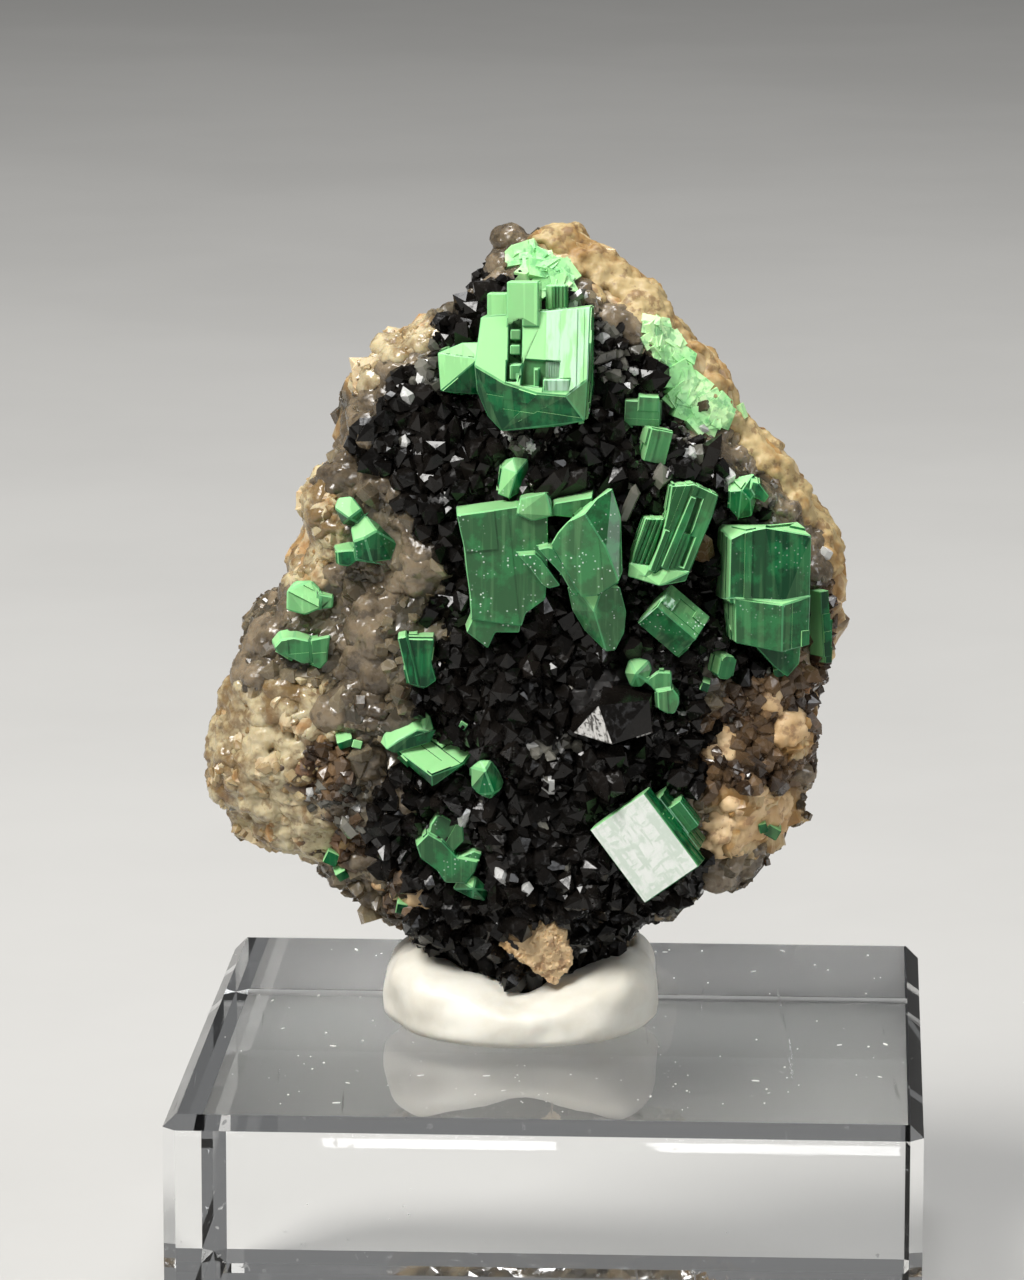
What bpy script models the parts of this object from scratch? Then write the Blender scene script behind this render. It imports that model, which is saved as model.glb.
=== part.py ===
"""Torbernite on smoky quartz: green square tablets on a dark quartz rock, in a dab of putty on a clear base.

The front of the specimen faces -Y. The origin is under the middle of the putty, on the surface that the base
stands on. Lengths in the shape tables are millimetres, and MM turns them into metres.
"""

import math
import random
from collections import namedtuple

import bmesh
import bpy
from mathutils import Matrix, Vector, noise
from mathutils.bvhtree import BVHTree

MM = 0.001
GAP = 0.2  # mm between two pieces that touch

# Clear base, a one inch square
BASE_SIDE = 25.4
BASE_HEIGHT = 10.0
BASE_EDGE = 0.45
BASE_TURN = -3.2  # degrees, the specimen isn't quite square to its base
BASE_SHIFT = 1.3

# Putty
PUTTY_WIDTH = 9.6
PUTTY_DEPTH = 8.4
PUTTY_HEIGHT = 3.5
PUTTY_BACK_RISE = 0.9
PUTTY_FINENESS = 4
PUTTY_FRONT_SHARE = 0.58  # the middle's share of the height, the sides have all of it
PUTTY_SIDE_REACH = 3.6
PUTTY_WAVE = 0.04
PUTTY_SEAT = 0.05  # mm above the base
PUTTY_TOP_ROUND = 0.7  # a smaller value has a tighter edge
PUTTY_FOOT_ROUND = 0.35

# Rock: its outline from the front as (x, z), and how far it swells to the front and the back
ROCK_MIDDLE = Vector((0.1, 24.2))
ROCK_FRONT = 5.2
ROCK_BACK = 6.4
ROCK_LEFT_LEAN = 0.16  # the left side falls back by this share of its distance from the middle
ROCK_OUTLINE = [
    (1.5, 38.3), (3.3, 36.9), (4.9, 36.1), (5.7, 34.3), (7.6, 31.8), (9.2, 29.8), (11.2, 26.8),
    (11.0, 23.4), (10.2, 19.2), (9.3, 17.0), (7.7, 14.9), (5.5, 13.9), (3.7, 12.7), (-0.2, 10.7),
    (-2.6, 12.1), (-4.2, 12.9), (-5.6, 14.2), (-8.1, 16.0), (-9.7, 16.5), (-11.5, 18.2), (-11.3, 21.1),
    (-9.8, 24.2), (-8.6, 25.6), (-7.7, 27.4), (-7.5, 28.6), (-6.7, 31.2), (-5.9, 33.2), (-5.3, 34.4),
    (-2.4, 35.7), (-1.4, 37.1), (-0.6, 38.0),
]
ROCK_FINENESS = 5
ROCK_KEPT_FACES = 0.43
ROCK_SPREAD = 0.86  # below 1 the front is flatter and the rim steeper
ROCK_SWELL = 0.72
ROCK_SHIFT = 0.6  # how far the rock's widest outline lies behind the middle of the base
BROAD_RELIEF = (0.55, 0.33, Vector((3.1, 0, 7.7)))  # height, fineness and place in the noise
FINE_RELIEF = (0.42, 0.85, Vector((0, 5.2, 1.3)))
FLAT_DEPTH = 0.9  # how much of what stands beyond a broken flat is taken off
FLAT_START = 1.6  # mm behind the outline where the flats are complete

# Lumps on the rock as (x, y, z, radius, height): the rind ridge, the knobs on the left, the foot
RIND_LUMPS = [
    (1.5, 0.6, 37.8, 1.0, 0.5), (3.0, 0.4, 36.7, 1.1, 0.6), (4.6, 0.0, 35.6, 1.2, 0.6),
    (5.6, -0.4, 34.0, 1.1, 0.6), (6.6, -0.8, 32.6, 1.0, 0.7), (7.6, -0.8, 31.2, 1.0, 0.6),
    (8.7, -0.8, 29.9, 1.1, 0.6), (9.8, -0.6, 28.4, 1.1, 0.6), (10.7, -0.4, 26.8, 1.0, 0.5),
    (9.4, -2.4, 21.6, 1.0, 0.5), (8.2, -3.0, 19.4, 1.3, 0.6), (7.2, -3.0, 17.6, 1.1, 0.5),
]
KNOB_LUMPS = [
    (-6.6, -1.2, 28.6, 1.5, 0.7), (-7.6, -0.8, 25.6, 1.3, 0.7), (-4.0, -3.6, 24.4, 1.6, 0.6),
    (-8.6, -1.6, 23.0, 1.7, 0.5), (-9.6, -1.4, 19.9, 1.8, 0.5), (-3.6, -3.4, 14.9, 1.2, 0.5),
]
ROCK_SKIN = 0.3  # how far the whole surface is drawn in, so that the lumps reach the outline
ROCK_HOLLOWS = [
    (-2.6, -4.4, 26.2, 1.6, 0.5), (0.6, -5.0, 31.6, 1.8, 0.5),
    (-5.4, -3.2, 26.0, 1.0, 0.5), (1.4, -5.0, 20.8, 1.8, 0.4),
]

# Broken flats on the sides and the back: outward direction, and the share of the half size that is left
ROCK_HALF_SIZE = Vector((11.3, 7.0, 13.6))
ROCK_FLATS = [
    ((0.1, 1.0, 0.15), 0.86), ((0.6, 0.8, 0.2), 0.86), ((-0.6, 0.75, 0.3), 0.86),
    ((0.3, 0.8, -0.6), 0.84),
    ((-0.45, 0.8, -0.5), 0.84), ((0.35, 0.75, 0.65), 0.84), ((-0.2, 0.7, 0.8), 0.86),
    ((0.95, 0.5, -0.15), 0.92),
    ((-0.95, 0.5, -0.1), 0.9), ((-0.85, 0.5, 0.5), 0.9), ((0.8, 0.55, 0.6), 0.9),
]

# Smoky quartz points that stand out of the crust
POINT_COUNT = 46
POINT_RADIUS = (0.34, 0.78)
POINT_KEEP_OFF = 1.15
POINT_SPACING = 1.25

CORNER_GROWTH = 1.4  # a cutter's corners move out by more than its faces do

Block = namedtuple("Block", "size offset turn tilt roll corner rim")
Hull = namedtuple("Hull", "points")
Slab = namedtuple("Slab", "outline front back draft")


def block(size, offset=(0, 0, 0), turn=0, tilt=0, roll=0, corner=0.0, rim=0.0):
    return Block(size, offset, turn, tilt, roll, corner, rim)


def slab(outline, front, back=0.7, draft=0.06):
    """A plate with a traced outline (x, z), a little smaller in front than at the back."""
    return Slab(outline, front, back, draft)


def stance(turn, tilt, roll):
    """Rotation about the crystal's own upright axis, then back or forward, then within the picture plane."""
    across = Matrix.Rotation(math.radians(roll), 3, "Y")
    lean = Matrix.Rotation(math.radians(tilt), 3, "X")
    return across @ lean @ Matrix.Rotation(math.radians(turn), 3, "Z")


def clear_scene():
    for obj in list(bpy.data.objects):
        bpy.data.objects.remove(obj)


def material(name, colour, roughness, metallic=0.0, transmission=0.0):
    made = bpy.data.materials.new(name)
    made.use_nodes = True
    shader = made.node_tree.nodes["Principled BSDF"]
    shader.inputs["Base Color"].default_value = (*colour, 1)
    shader.inputs["Roughness"].default_value = roughness
    shader.inputs["Metallic"].default_value = metallic
    shader.inputs["Transmission Weight"].default_value = transmission
    made.diffuse_color = (*colour, 1)
    return made


def object_from(bm, name, finish=None):
    """A new object from a mesh in millimetres."""
    bmesh.ops.scale(bm, vec=(MM, MM, MM), verts=bm.verts)
    bmesh.ops.recalc_face_normals(bm, faces=bm.faces)
    mesh = bpy.data.meshes.new(name)
    bm.to_mesh(mesh)
    bm.free()
    if finish:
        mesh.materials.append(finish)
    obj = bpy.data.objects.new(name, mesh)
    bpy.context.scene.collection.objects.link(obj)
    return obj


def as_helper(obj):
    obj.hide_render = True
    obj.display_type = "WIRE"
    return obj


def helper_collection(name, objects):
    group = bpy.data.collections.new(name)
    bpy.context.scene.collection.children.link(group)
    for obj in objects:
        bpy.context.scene.collection.objects.unlink(obj)
        group.objects.link(as_helper(obj))
    return group


def combine(obj, operation, helpers, name):
    """A Boolean of the object with a group of helpers."""
    modifier = obj.modifiers.new(name, "BOOLEAN")
    modifier.operation = operation
    modifier.solver = "EXACT"
    modifier.operand_type = "COLLECTION"
    modifier.collection = helper_collection(f"{obj.name}_{name}", helpers)


# Rock


def rim_reach(angle):
    """Distance from the rock's middle to its outline, in a direction of the front view."""
    ray = Vector((math.cos(angle), math.sin(angle)))
    best = 0.0
    for i, corner in enumerate(ROCK_OUTLINE):
        start = Vector(corner) - ROCK_MIDDLE
        side = Vector(ROCK_OUTLINE[(i + 1) % len(ROCK_OUTLINE)]) - ROCK_MIDDLE - start
        cross = ray.x * side.y - ray.y * side.x
        if abs(cross) < 1e-9:
            continue
        reach = (start.x * side.y - start.y * side.x) / cross
        along = (start.x * ray.y - start.y * ray.x) / cross
        if reach > 0 and 0 <= along <= 1:
            best = max(best, reach)
    return best


def rock_point(direction):
    """Where a direction from a sphere lands on the smooth form of the rock."""
    across = math.hypot(direction.x, direction.z)
    angle = math.atan2(direction.z, direction.x)
    spread = across ** ROCK_SPREAD
    reach = rim_reach(angle) * spread
    x = ROCK_MIDDLE.x + reach * math.cos(angle)
    z = ROCK_MIDDLE.y + reach * math.sin(angle)
    swell = abs(direction.y) ** ROCK_SWELL
    y = -ROCK_FRONT * swell if direction.y < 0 else ROCK_BACK * swell
    y += ROCK_SHIFT - ROCK_LEFT_LEAN * min(x, 0.0)
    return Vector((x, y, z))


def rock_relief(place):
    """Height of the rough surface above the smooth form."""
    height = -ROCK_SKIN
    for rise, fineness, shift in (BROAD_RELIEF, FINE_RELIEF):
        height += rise * noise.noise(place * fineness + shift)
    for x, y, z, radius, rise in RIND_LUMPS + KNOB_LUMPS:
        height += rise * math.exp(-((place - Vector((x, y, z))).length / radius) ** 2)
    for x, y, z, radius, fall in ROCK_HOLLOWS:
        height -= fall * math.exp(-((place - Vector((x, y, z))).length / radius) ** 2)
    return height


def broken_flat(place):
    """Draws a point on the back in to the flats that the rock broke along."""
    middle = Vector((ROCK_MIDDLE.x, 0.5, ROCK_MIDDLE.y))
    behind = min(1.0, max(0.0, (place.y - ROCK_SHIFT) / FLAT_START))
    for direction, share in ROCK_FLATS:
        outward = Vector(direction).normalized()
        half = Vector(outward[k] * ROCK_HALF_SIZE[k] for k in range(3)).length
        beyond = (place - middle).dot(outward) - half * share
        if beyond > 0:
            place = place - outward * beyond * FLAT_DEPTH * behind
    return place


def rock_form(grow=0.0):
    """The rock's surface in millimetres, swollen by a margin where it serves as a cutter."""
    bm = bmesh.new()
    bmesh.ops.create_icosphere(bm, subdivisions=ROCK_FINENESS, radius=1)
    for vertex in bm.verts:
        vertex.co = broken_flat(rock_point(vertex.co.normalized()))
    bm.normal_update()
    moved = [v.co + v.normal * (rock_relief(v.co) + grow) for v in bm.verts]
    for vertex, place in zip(bm.verts, moved):
        vertex.co = place
    bm.normal_update()
    return bm


def quartz_point(place, outward, radius, length, spin):
    """A six-sided prism with a pointed end, standing on the rock."""
    bm = bmesh.new()
    upright = outward.to_track_quat("Z", "Y").to_matrix()
    rings = [(radius * 1.05, -0.7), (radius, length * 0.45)]
    for reach, height in rings:
        for k in range(6):
            angle = spin + math.radians(60 * k)
            bm.verts.new(place + upright @ Vector((reach * math.cos(angle), reach * math.sin(angle), height)))
    bm.verts.new(place + upright @ Vector((0.12 * radius, -0.08 * radius, length)))
    bmesh.ops.convex_hull(bm, input=bm.verts)
    return bm


def seat(surface, x, z):
    """The rock's surface as seen from the front at (x, z): the point and its outward normal."""
    place, normal, _, _ = surface.ray_cast(Vector((x, -30, z)), Vector((0, 1, 0)))
    return place, normal


def quartz_points(surface, crystals):
    """Pointed quartz scattered over the front, clear of the green crystals."""
    draw = random.Random(11)
    taken = []
    made = []
    while len(made) < POINT_COUNT:
        x = draw.uniform(-7.0, 8.6)
        z = draw.uniform(14.8, 36.4)
        radius = draw.uniform(*POINT_RADIUS)
        spin = draw.uniform(0, 1)
        lean = Vector((draw.uniform(-0.45, 0.45), draw.uniform(-0.3, 0.2), draw.uniform(-0.35, 0.45)))
        place, normal = seat(surface, x, z)
        if place is None or normal.y > -0.45:
            continue
        if any((place - other).length < POINT_SPACING for other in taken):
            continue
        if any((place - spot).length < reach + POINT_KEEP_OFF for spot, reach in crystals):
            continue
        taken.append(place)
        outward = (normal + lean).normalized()
        bm = quartz_point(place, outward, radius, radius * draw.uniform(1.5, 2.2), spin)
        made.append(object_from(bm, f"quartz_point_{len(made):02d}"))
    return made


# Green crystals


def swollen(points, grow):
    middle = sum(points, Vector()) / len(points)
    return [p + (p - middle).normalized() * grow * CORNER_GROWTH for p in points]


def shape_points(part, grow):
    """Corner points of one tablet or hull, swollen by a margin where it serves as a cutter."""
    if isinstance(part, Hull):
        return swollen([Vector(p) for p in part.points], grow)
    if isinstance(part, Slab):
        back = [Vector((x, part.back, z)) for x, z in part.outline]
        front = [Vector((x, part.front, z)) for x, z in part.outline]
        middle = sum(front, Vector()) / len(front)
        return swollen([p + (middle - p).normalized() * part.draft for p in front] + back, grow)
    width, depth, height = (side / 2 + grow for side in part.size)
    turned = stance(part.turn, part.tilt, part.roll)
    points = []
    bevelled = ((-depth, part.rim), (-depth + part.rim, 0), (depth - part.rim, 0), (depth, part.rim))
    for y, inset in bevelled if part.rim and not grow else ((-depth, 0), (depth, 0)):
        half = width - inset
        tall = height - inset
        cut = 0 if grow else part.corner
        for sx, sz in ((1, 1), (1, -1), (-1, -1), (-1, 1)):
            points.append(Vector((sx * (half - cut), y, sz * tall)))
            points.append(Vector((sx * half, y, sz * (tall - cut))))
    return [turned @ p + Vector(part.offset) for p in points]


def slab_mesh(part, place, turned):
    bm = bmesh.new()
    corners = [bm.verts.new(turned @ p + place) for p in shape_points(part, 0)]
    count = len(part.outline)
    bm.faces.new(corners[:count])
    bm.faces.new(reversed(corners[count:]))
    for k in range(count):
        after = (k + 1) % count
        bm.faces.new((corners[k], corners[after], corners[count + after], corners[count + k]))
    return bm


def shape_mesh(part, place, turned, grow=0.0):
    if isinstance(part, Slab) and not grow:
        return slab_mesh(part, place, turned)
    bm = bmesh.new()
    for point in shape_points(part, grow):
        bm.verts.new(turned @ point + place)
    bmesh.ops.remove_doubles(bm, verts=bm.verts, dist=0.001)
    hull = bmesh.ops.convex_hull(bm, input=bm.verts)
    spare = [v for v in set(hull["geom_interior"] + hull["geom_unused"]) if isinstance(v, bmesh.types.BMVert)]
    bmesh.ops.delete(bm, geom=spare, context="VERTS")
    bmesh.ops.dissolve_limit(bm, angle_limit=math.radians(1), verts=bm.verts, edges=bm.edges)
    return bm


def crystal(surface, finish, spec):
    """One green crystal or intergrown group, with the cutters for its socket in the rock."""
    x, z = spec["at"]
    place, _ = seat(surface, x, z)
    place = Vector((x, place.y - spec["proud"], z))
    turned = stance(spec.get("turn", 0), spec.get("tilt", 0), spec.get("roll", 0))
    name = spec["name"]
    parts = spec["parts"]
    obj = object_from(shape_mesh(parts[0], place, turned), name, finish)
    others = [
        object_from(shape_mesh(part, place, turned), f"{name}_part_{k}") for k, part in enumerate(parts[1:])
    ]
    if others:
        combine(obj, "UNION", others, "grown_together")
    cuts = [
        object_from(shape_mesh(part, place, turned), f"{name}_cut_{k}")
        for k, part in enumerate(spec.get("steps", []))
    ]
    if cuts:
        combine(obj, "DIFFERENCE", cuts, "growth_steps")
    sockets = [
        object_from(shape_mesh(part, place, turned, GAP), f"{name}_socket_{k}")
        for k, part in enumerate(parts)
    ]
    reach = max((turned @ point).length for part in parts for point in shape_points(part, 0)) * 0.8
    return sockets, (place, reach)


CROWN = {
    "name": "torbernite_crown", "at": (0.4, 34.4), "proud": 0.9, "turn": -4, "tilt": -6,
    "parts": [
        Hull([
            (-1.8, -0.46, 1.4), (1.9, -0.34, 1.75), (1.9, 1.6, 1.75), (-1.8, 1.6, 1.4),
            (-1.98, -1.02, -0.2), (-0.96, -1.22, -0.78), (0.16, -1.34, -1.12), (1.12, -1.37, -1.2),
            (1.85, -1.18, -0.65),
            (-1.92, -0.7, -1.1), (-1.56, -0.65, -1.94), (-1.08, -0.75, -2.43), (0.9, -0.85, -2.25),
            (1.74, -1.0, -2.06), (-1.9, 1.4, -0.8), (1.9, 1.4, -1.1), (1.7, 1.2, -2.1), (-1.06, 1.2, -2.4),
        ]),
        block((1.05, 1.6, 1.5), (-0.38, 0.1, 1.85)),
        block((0.75, 1.3, 1.1), (-1.22, 0.25, 1.65)),
        block((0.7, 1.0, 1.2), (0.68, 0.9, 1.85)),
    ],
    "steps": [
        block((0.46, 1.0, 1.5), (-0.62, -0.86, 0.6)),
        block((0.36, 1.0, 0.7), (-0.72, -1.15, -0.4)),
        block((1.25, 0.8, 0.9), (0.25, -1.2, -0.48), roll=4),
    ],
}
CROWN_FLANK = {
    "name": "torbernite_crown_flank", "at": (-2.15, 33.5), "proud": 0.35,
    "parts": [
        Hull([
            (-0.66, -0.6, -0.42), (0.64, -0.6, 0.69), (-0.76, -0.2, 0.83), (0.09, -0.05, 1.17),
            (0.64, 0.0, 1.17), (0.64, -0.15, -0.6), (0.02, -0.15, -0.63), (-0.7, 0.9, 0.7), (0.6, 0.9, 1.0), (0.6, 0.9, -0.5),
            (-0.6, 0.9, -0.3),
        ]),
    ],
}
SPLINTER = {
    "name": "torbernite_splinter", "at": (-0.3, 30.4), "proud": 0.35,
    "parts": [
        Hull([
            (-0.42, -0.2, 0.24), (-0.04, -0.1, 0.58), (0.47, 0.1, 0.48), (0.47, 0.0, 0.12),
            (0.08, -0.5, 0.1),
            (-0.18, -0.45, -0.78), (-0.56, -0.3, -0.66), (0.2, -0.2, -0.6), (-0.45, 0.9, 0.3),
            (0.45, 0.9, 0.4),
            (0.3, 0.9, -0.6), (-0.5, 0.9, -0.65),
        ]),
    ],
}
HEART = {
    "name": "torbernite_heart", "at": (-0.7, 27.3), "proud": 0.45,
    "parts": [
        slab([
            (-1.59, 1.94), (0.47, 2.23), (1.55, 2.1), (1.6, 0.6), (1.5, -1.04), (0.81, -1.56),
            (0.66, -2.0),
            (-1.1, -1.75), (-1.16, -0.9), (-1.28, -0.1), (-1.36, 0.8),
        ], -0.75),
        slab([
            (-1.0, -1.5), (0.7, -1.7), (0.62, -2.2), (-0.22, -2.24), (-0.52, -2.79), (-1.29, -2.18),
        ], -0.6),
        Hull([
            (0.6, -0.78, 2.45), (1.46, -0.75, 2.66), (1.66, -0.75, 2.4), (1.66, -0.92, 1.88),
            (1.0, -0.95, 1.72),
            (0.5, -0.92, 1.95), (0.6, 0.5, 2.4), (1.6, 0.5, 2.5), (1.6, 0.5, 1.8), (0.6, 0.5, 1.8),
        ]),
        slab([(1.5, 1.85), (1.7, 2.3), (3.1, 2.52), (2.9, 1.7)], -0.65),
        Hull([
            (1.63, -1.3, 0.98), (1.85, -1.35, 1.37), (2.21, -1.43, 1.8), (2.76, -1.525, 2.08),
            (3.48, -1.594, 0.94), (3.92, -1.618, -0.24), (3.17, -1.477, -0.76), (2.66, -1.39, -0.83),
            (3.18, -1.28, 2.56), (3.7, -1.03, 2.86), (4.0, -1.09, 1.9), (4.05, -1.45, 0.05),
            (1.9, 0.6, 1.1), (3.6, 0.6, 2.6), (3.8, 0.6, 0.1), (3.0, 0.6, -0.5),
        ]),
        slab([
            (1.16, 0.86), (1.5, 0.95), (1.72, 0.9), (2.62, -0.62), (2.56, -0.86), (2.36, -0.72),
            (1.98, -0.1),
        ], -1.3),
        slab([
            (0.47, 0.63), (1.07, 0.69), (1.3, 0.5), (2.0, -0.5), (1.59, -0.62), (1.37, -0.5), (0.9, 0.1),
        ], -1.15),
        Hull([
            (2.19, -0.7, -0.6), (2.62, -1.0, -0.7), (3.4, -0.95, -0.5), (3.98, -0.6, -0.62),
            (4.2, -0.5, -1.5),
            (4.14, -0.5, -2.2), (3.82, -0.55, -2.84), (3.52, -0.7, -2.84), (3.1, -1.2, -1.35),
            (2.79, -0.6, -2.13),
            (2.36, -0.55, -1.43), (2.4, 0.6, -0.7), (3.9, 0.6, -0.7), (3.9, 0.6, -2.3), (2.9, 0.6, -2.0),
        ]),
    ],
}
LATHS = {
    "name": "torbernite_laths", "at": (4.95, 28.25), "proud": 0.8, "roll": 21, "tilt": -7,
    "parts": [
        slab([
            (-0.62, 1.72), (0.08, 2.05), (0.98, 1.98), (1.06, 1.26), (0.98, -1.0), (0.5, -1.35),
            (-0.36, -1.5),
            (-0.3, -0.23), (-0.45, 0.87),
        ], -0.85, 0.85, 0.03),
        slab([(-1.05, 0.4), (-0.4, 0.62), (-0.3, -1.5), (-0.92, -1.42), (-1.02, -0.9)], -0.6),
        block((0.26, 0.5, 2.6), (0.2, -0.75, 0.3), roll=2),
        block((0.2, 0.4, 1.5), (-0.2, -0.78, -0.5)),
        Hull([
            (-1.0, -0.7, -1.25), (0.98, -0.95, -0.82), (1.0, -0.85, -1.15), (0.2, -0.95, -1.62),
            (-0.9, -0.7, -1.7),
            (-0.9, 0.7, -1.3), (0.95, 0.7, -0.9), (0.9, 0.7, -1.2), (-0.8, 0.7, -1.6),
        ]),
    ],
    "steps": [
        block((0.22, 0.6, 1.3), (0.45, -0.95, 1.0), roll=-2),
        block((0.16, 0.5, 1.1), (0.68, -0.95, -0.2)),
    ],
}
STRIATED = {
    "name": "torbernite_striated", "at": (5.12, 25.45), "proud": 0.75, "roll": 41,
    "parts": [block((1.75, 1.25, 1.25), tilt=38)],
}
TOWER = {
    "name": "torbernite_tower", "at": (8.2, 27.1), "proud": 0.9, "turn": 12, "roll": 1,
    "parts": [
        Hull([
            (-1.4, -0.85, 1.15), (-0.85, -0.9, 1.42), (-0.2, -0.95, 1.54), (0.45, -0.93, 1.42),
            (1.46, -0.8, 1.2),
            (1.46, 1.1, 1.25), (-1.4, 1.1, 1.3),
            (-1.4, -0.85, -1.05), (0.4, -1.05, -1.36), (1.46, -0.8, -1.05), (1.46, 1.1, -1.2),
            (-1.4, 1.1, -1.2),
        ]),
        Hull([
            (-1.2, -0.88, -0.9), (0.4, -1.25, -1.1), (1.48, -0.8, -0.9), (1.45, 1.0, -1.0),
            (-1.2, 1.0, -1.0),
            (-1.15, -0.88, -2.45), (0.4, -1.25, -2.75), (1.46, -0.8, -2.6), (1.4, 1.0, -2.7),
            (-1.1, 1.0, -2.5),
        ]),
        Hull([
            (-0.5, -0.7, -2.5), (1.25, -0.6, -2.5), (1.2, 0.9, -2.6), (-0.4, 0.9, -2.6),
            (0.3, -0.6, -3.36), (0.83, -0.5, -3.77), (1.22, -0.55, -3.3), (0.8, 0.6, -3.6),
            (0.2, 0.6, -3.3),
        ]),
    ],
}
RIM_WEDGE = {
    "name": "torbernite_rim_wedge", "at": (7.45, 29.4), "proud": 0.3,
    "parts": [
        Hull([
            (-0.4, -0.35, 0.25), (0.0, -0.5, 0.3), (0.3, -0.4, -0.05), (0.36, -0.2, -0.65),
            (-0.1, -0.3, -0.72),
            (-0.4, -0.2, -0.4), (-0.38, 0.4, 0.55), (0.46, 0.5, 0.72), (0.6, 0.1, 0.2),
            (0.4, 0.8, -0.6), (-0.4, 0.8, -0.4),
        ]),
        slab([(0.35, 0.6), (0.6, 0.55), (1.0, 0.0), (0.82, -0.24), (0.2, 0.1)], -0.15),
    ],
}
PLAQUES = [
    {
        "name": "torbernite_plaque_upper", "at": (4.05, 32.35), "proud": 0.15, "roll": 3,
        "parts": [block((1.2, 0.7, 0.85)), block((0.7, 0.8, 0.5), (0.2, 0.0, 0.35))],
    },
    {
        "name": "torbernite_plaque_lower", "at": (4.5, 31.3), "proud": 0.1, "turn": 15, "roll": 14,
        "parts": [block((0.8, 0.7, 1.15))],
    },
]
BEAD = {
    "name": "torbernite_bead", "at": (6.8, 23.75), "proud": 0.3, "turn": 25, "roll": 12,
    "parts": [block((0.55, 0.7, 0.85), corner=0.12)],
}
BUD = {
    "name": "torbernite_bud", "at": (4.1, 23.25), "proud": 0.15,
    "parts": [
        Hull([
            (-0.64, -0.1, 0.31), (-0.5, -0.15, 0.77), (-0.2, -0.1, 0.86), (0.2, -0.15, 0.75),
            (0.3, -0.15, 0.45),
            (0.14, -0.3, 0.08), (-0.12, -0.25, -0.17), (-0.44, -0.2, -0.15), (-0.25, -0.5, 0.35),
            (-0.5, 0.7, 0.6), (0.2, 0.7, 0.6), (0.1, 0.7, 0.0), (-0.4, 0.7, 0.0),
        ]),
        slab([(0.0, 0.1), (0.47, 0.45), (0.99, 0.42), (1.02, -0.04), (0.9, -0.4), (0.38, -0.35)], -0.3),
        slab([
            (0.42, -0.2), (1.0, -0.1), (1.26, -0.4), (1.28, -0.7), (1.08, -1.1), (0.76, -1.08),
            (0.45, -0.9),
        ], -0.45),
    ],
}
MIRROR = {
    "name": "torbernite_mirror", "at": (4.25, 17.6), "proud": 1.0, "roll": -37,
    "parts": [
        block((2.45, 0.75, 3.15), turn=-17, tilt=-6),
        block((0.9, 1.1, 2.3), (1.05, 0.75, -0.1), turn=-17),
        block((0.55, 0.9, 1.1), (1.6, 0.6, 0.0), turn=-8),
    ],
}
KNOB_CLUSTER = {
    "name": "torbernite_knob_cluster", "at": (-5.3, 28.1), "proud": 0.25,
    "parts": [
        Hull([
            (-0.5, -0.45, -0.15), (-0.1, -0.5, 0.0), (0.3, -0.35, 0.2), (1.0, 0.1, -0.3),
            (0.8, 0.0, -0.88),
            (0.13, -0.35, -0.9), (-0.4, -0.3, -0.8), (-0.6, 0.0, 0.25), (-0.1, 0.1, 0.68),
            (0.4, 0.1, 0.32),
            (0.7, 0.9, -0.7), (-0.4, 0.9, -0.7), (0.2, 0.9, 0.4),
        ]),
        Hull([
            (-1.16, -0.1, 0.95), (-0.64, -0.35, 0.62), (-0.2, -0.1, 0.92), (-0.55, 0.1, 1.34),
            (-1.02, 0.1, 1.28),
            (-0.9, 0.8, 0.9), (-0.3, 0.8, 0.7), (0.1, 0.6, 0.1), (-0.9, 0.3, 0.3),
        ]),
        slab([
            (-1.2, -0.45), (-0.64, -0.33), (-0.1, -0.4), (-0.2, -0.85), (-0.66, -1.19), (-1.14, -1.08),
        ], -0.3, 0.6, 0.14),
    ],
}
KNOB_CAP = {
    "name": "torbernite_knob_cap", "at": (-7.4, 25.95), "proud": 0.25,
    "parts": [
        Hull([
            (-0.72, -0.3, 0.1), (-0.42, 0.0, 0.4), (0.12, 0.0, 0.42), (0.45, -0.1, 0.1),
            (0.45, -0.45, -0.5),
            (-0.08, -0.5, -0.72), (-0.74, -0.35, -0.58), (-0.6, 0.8, 0.1), (0.4, 0.8, 0.1),
            (0.3, 0.7, -0.6), (-0.6, 0.7, -0.5),
        ]),
        slab([(0.3, 0.05), (0.94, -0.08), (0.9, -0.56), (0.35, -0.6)], -0.25),
    ],
}
SHOULDER = {
    "name": "torbernite_shoulder", "at": (-7.65, 24.0), "proud": 0.2,
    "parts": [
        slab([
            (-1.05, 0.15), (-0.78, 0.49), (-0.2, 0.6), (0.43, 0.42), (0.5, -0.5), (0.18, -0.59),
            (-0.45, -0.39),
            (-0.93, -0.15),
        ], -0.35, 0.7, 0.15),
        slab([(0.3, 0.4), (1.05, 0.54), (1.0, 0.0), (0.96, -0.44), (0.67, -0.74), (0.25, -0.55)], -0.25),
    ],
}
ROLLED = {
    "name": "torbernite_rolled", "at": (-3.6, 23.9), "proud": 0.25,
    "parts": [
        slab([
            (-0.5, 0.93), (0.58, 0.92), (0.5, 0.08), (0.66, -0.6), (0.28, -0.86), (-0.2, -0.75),
        ], -0.35, 0.7, 0.04),
        slab([
            (-0.68, 0.98), (-0.38, 1.06), (-0.12, 0.2), (0.05, -0.74), (-0.3, -0.66), (-0.52, 0.2),
        ], -0.6, 0.6, 0.02),
    ],
}
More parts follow.
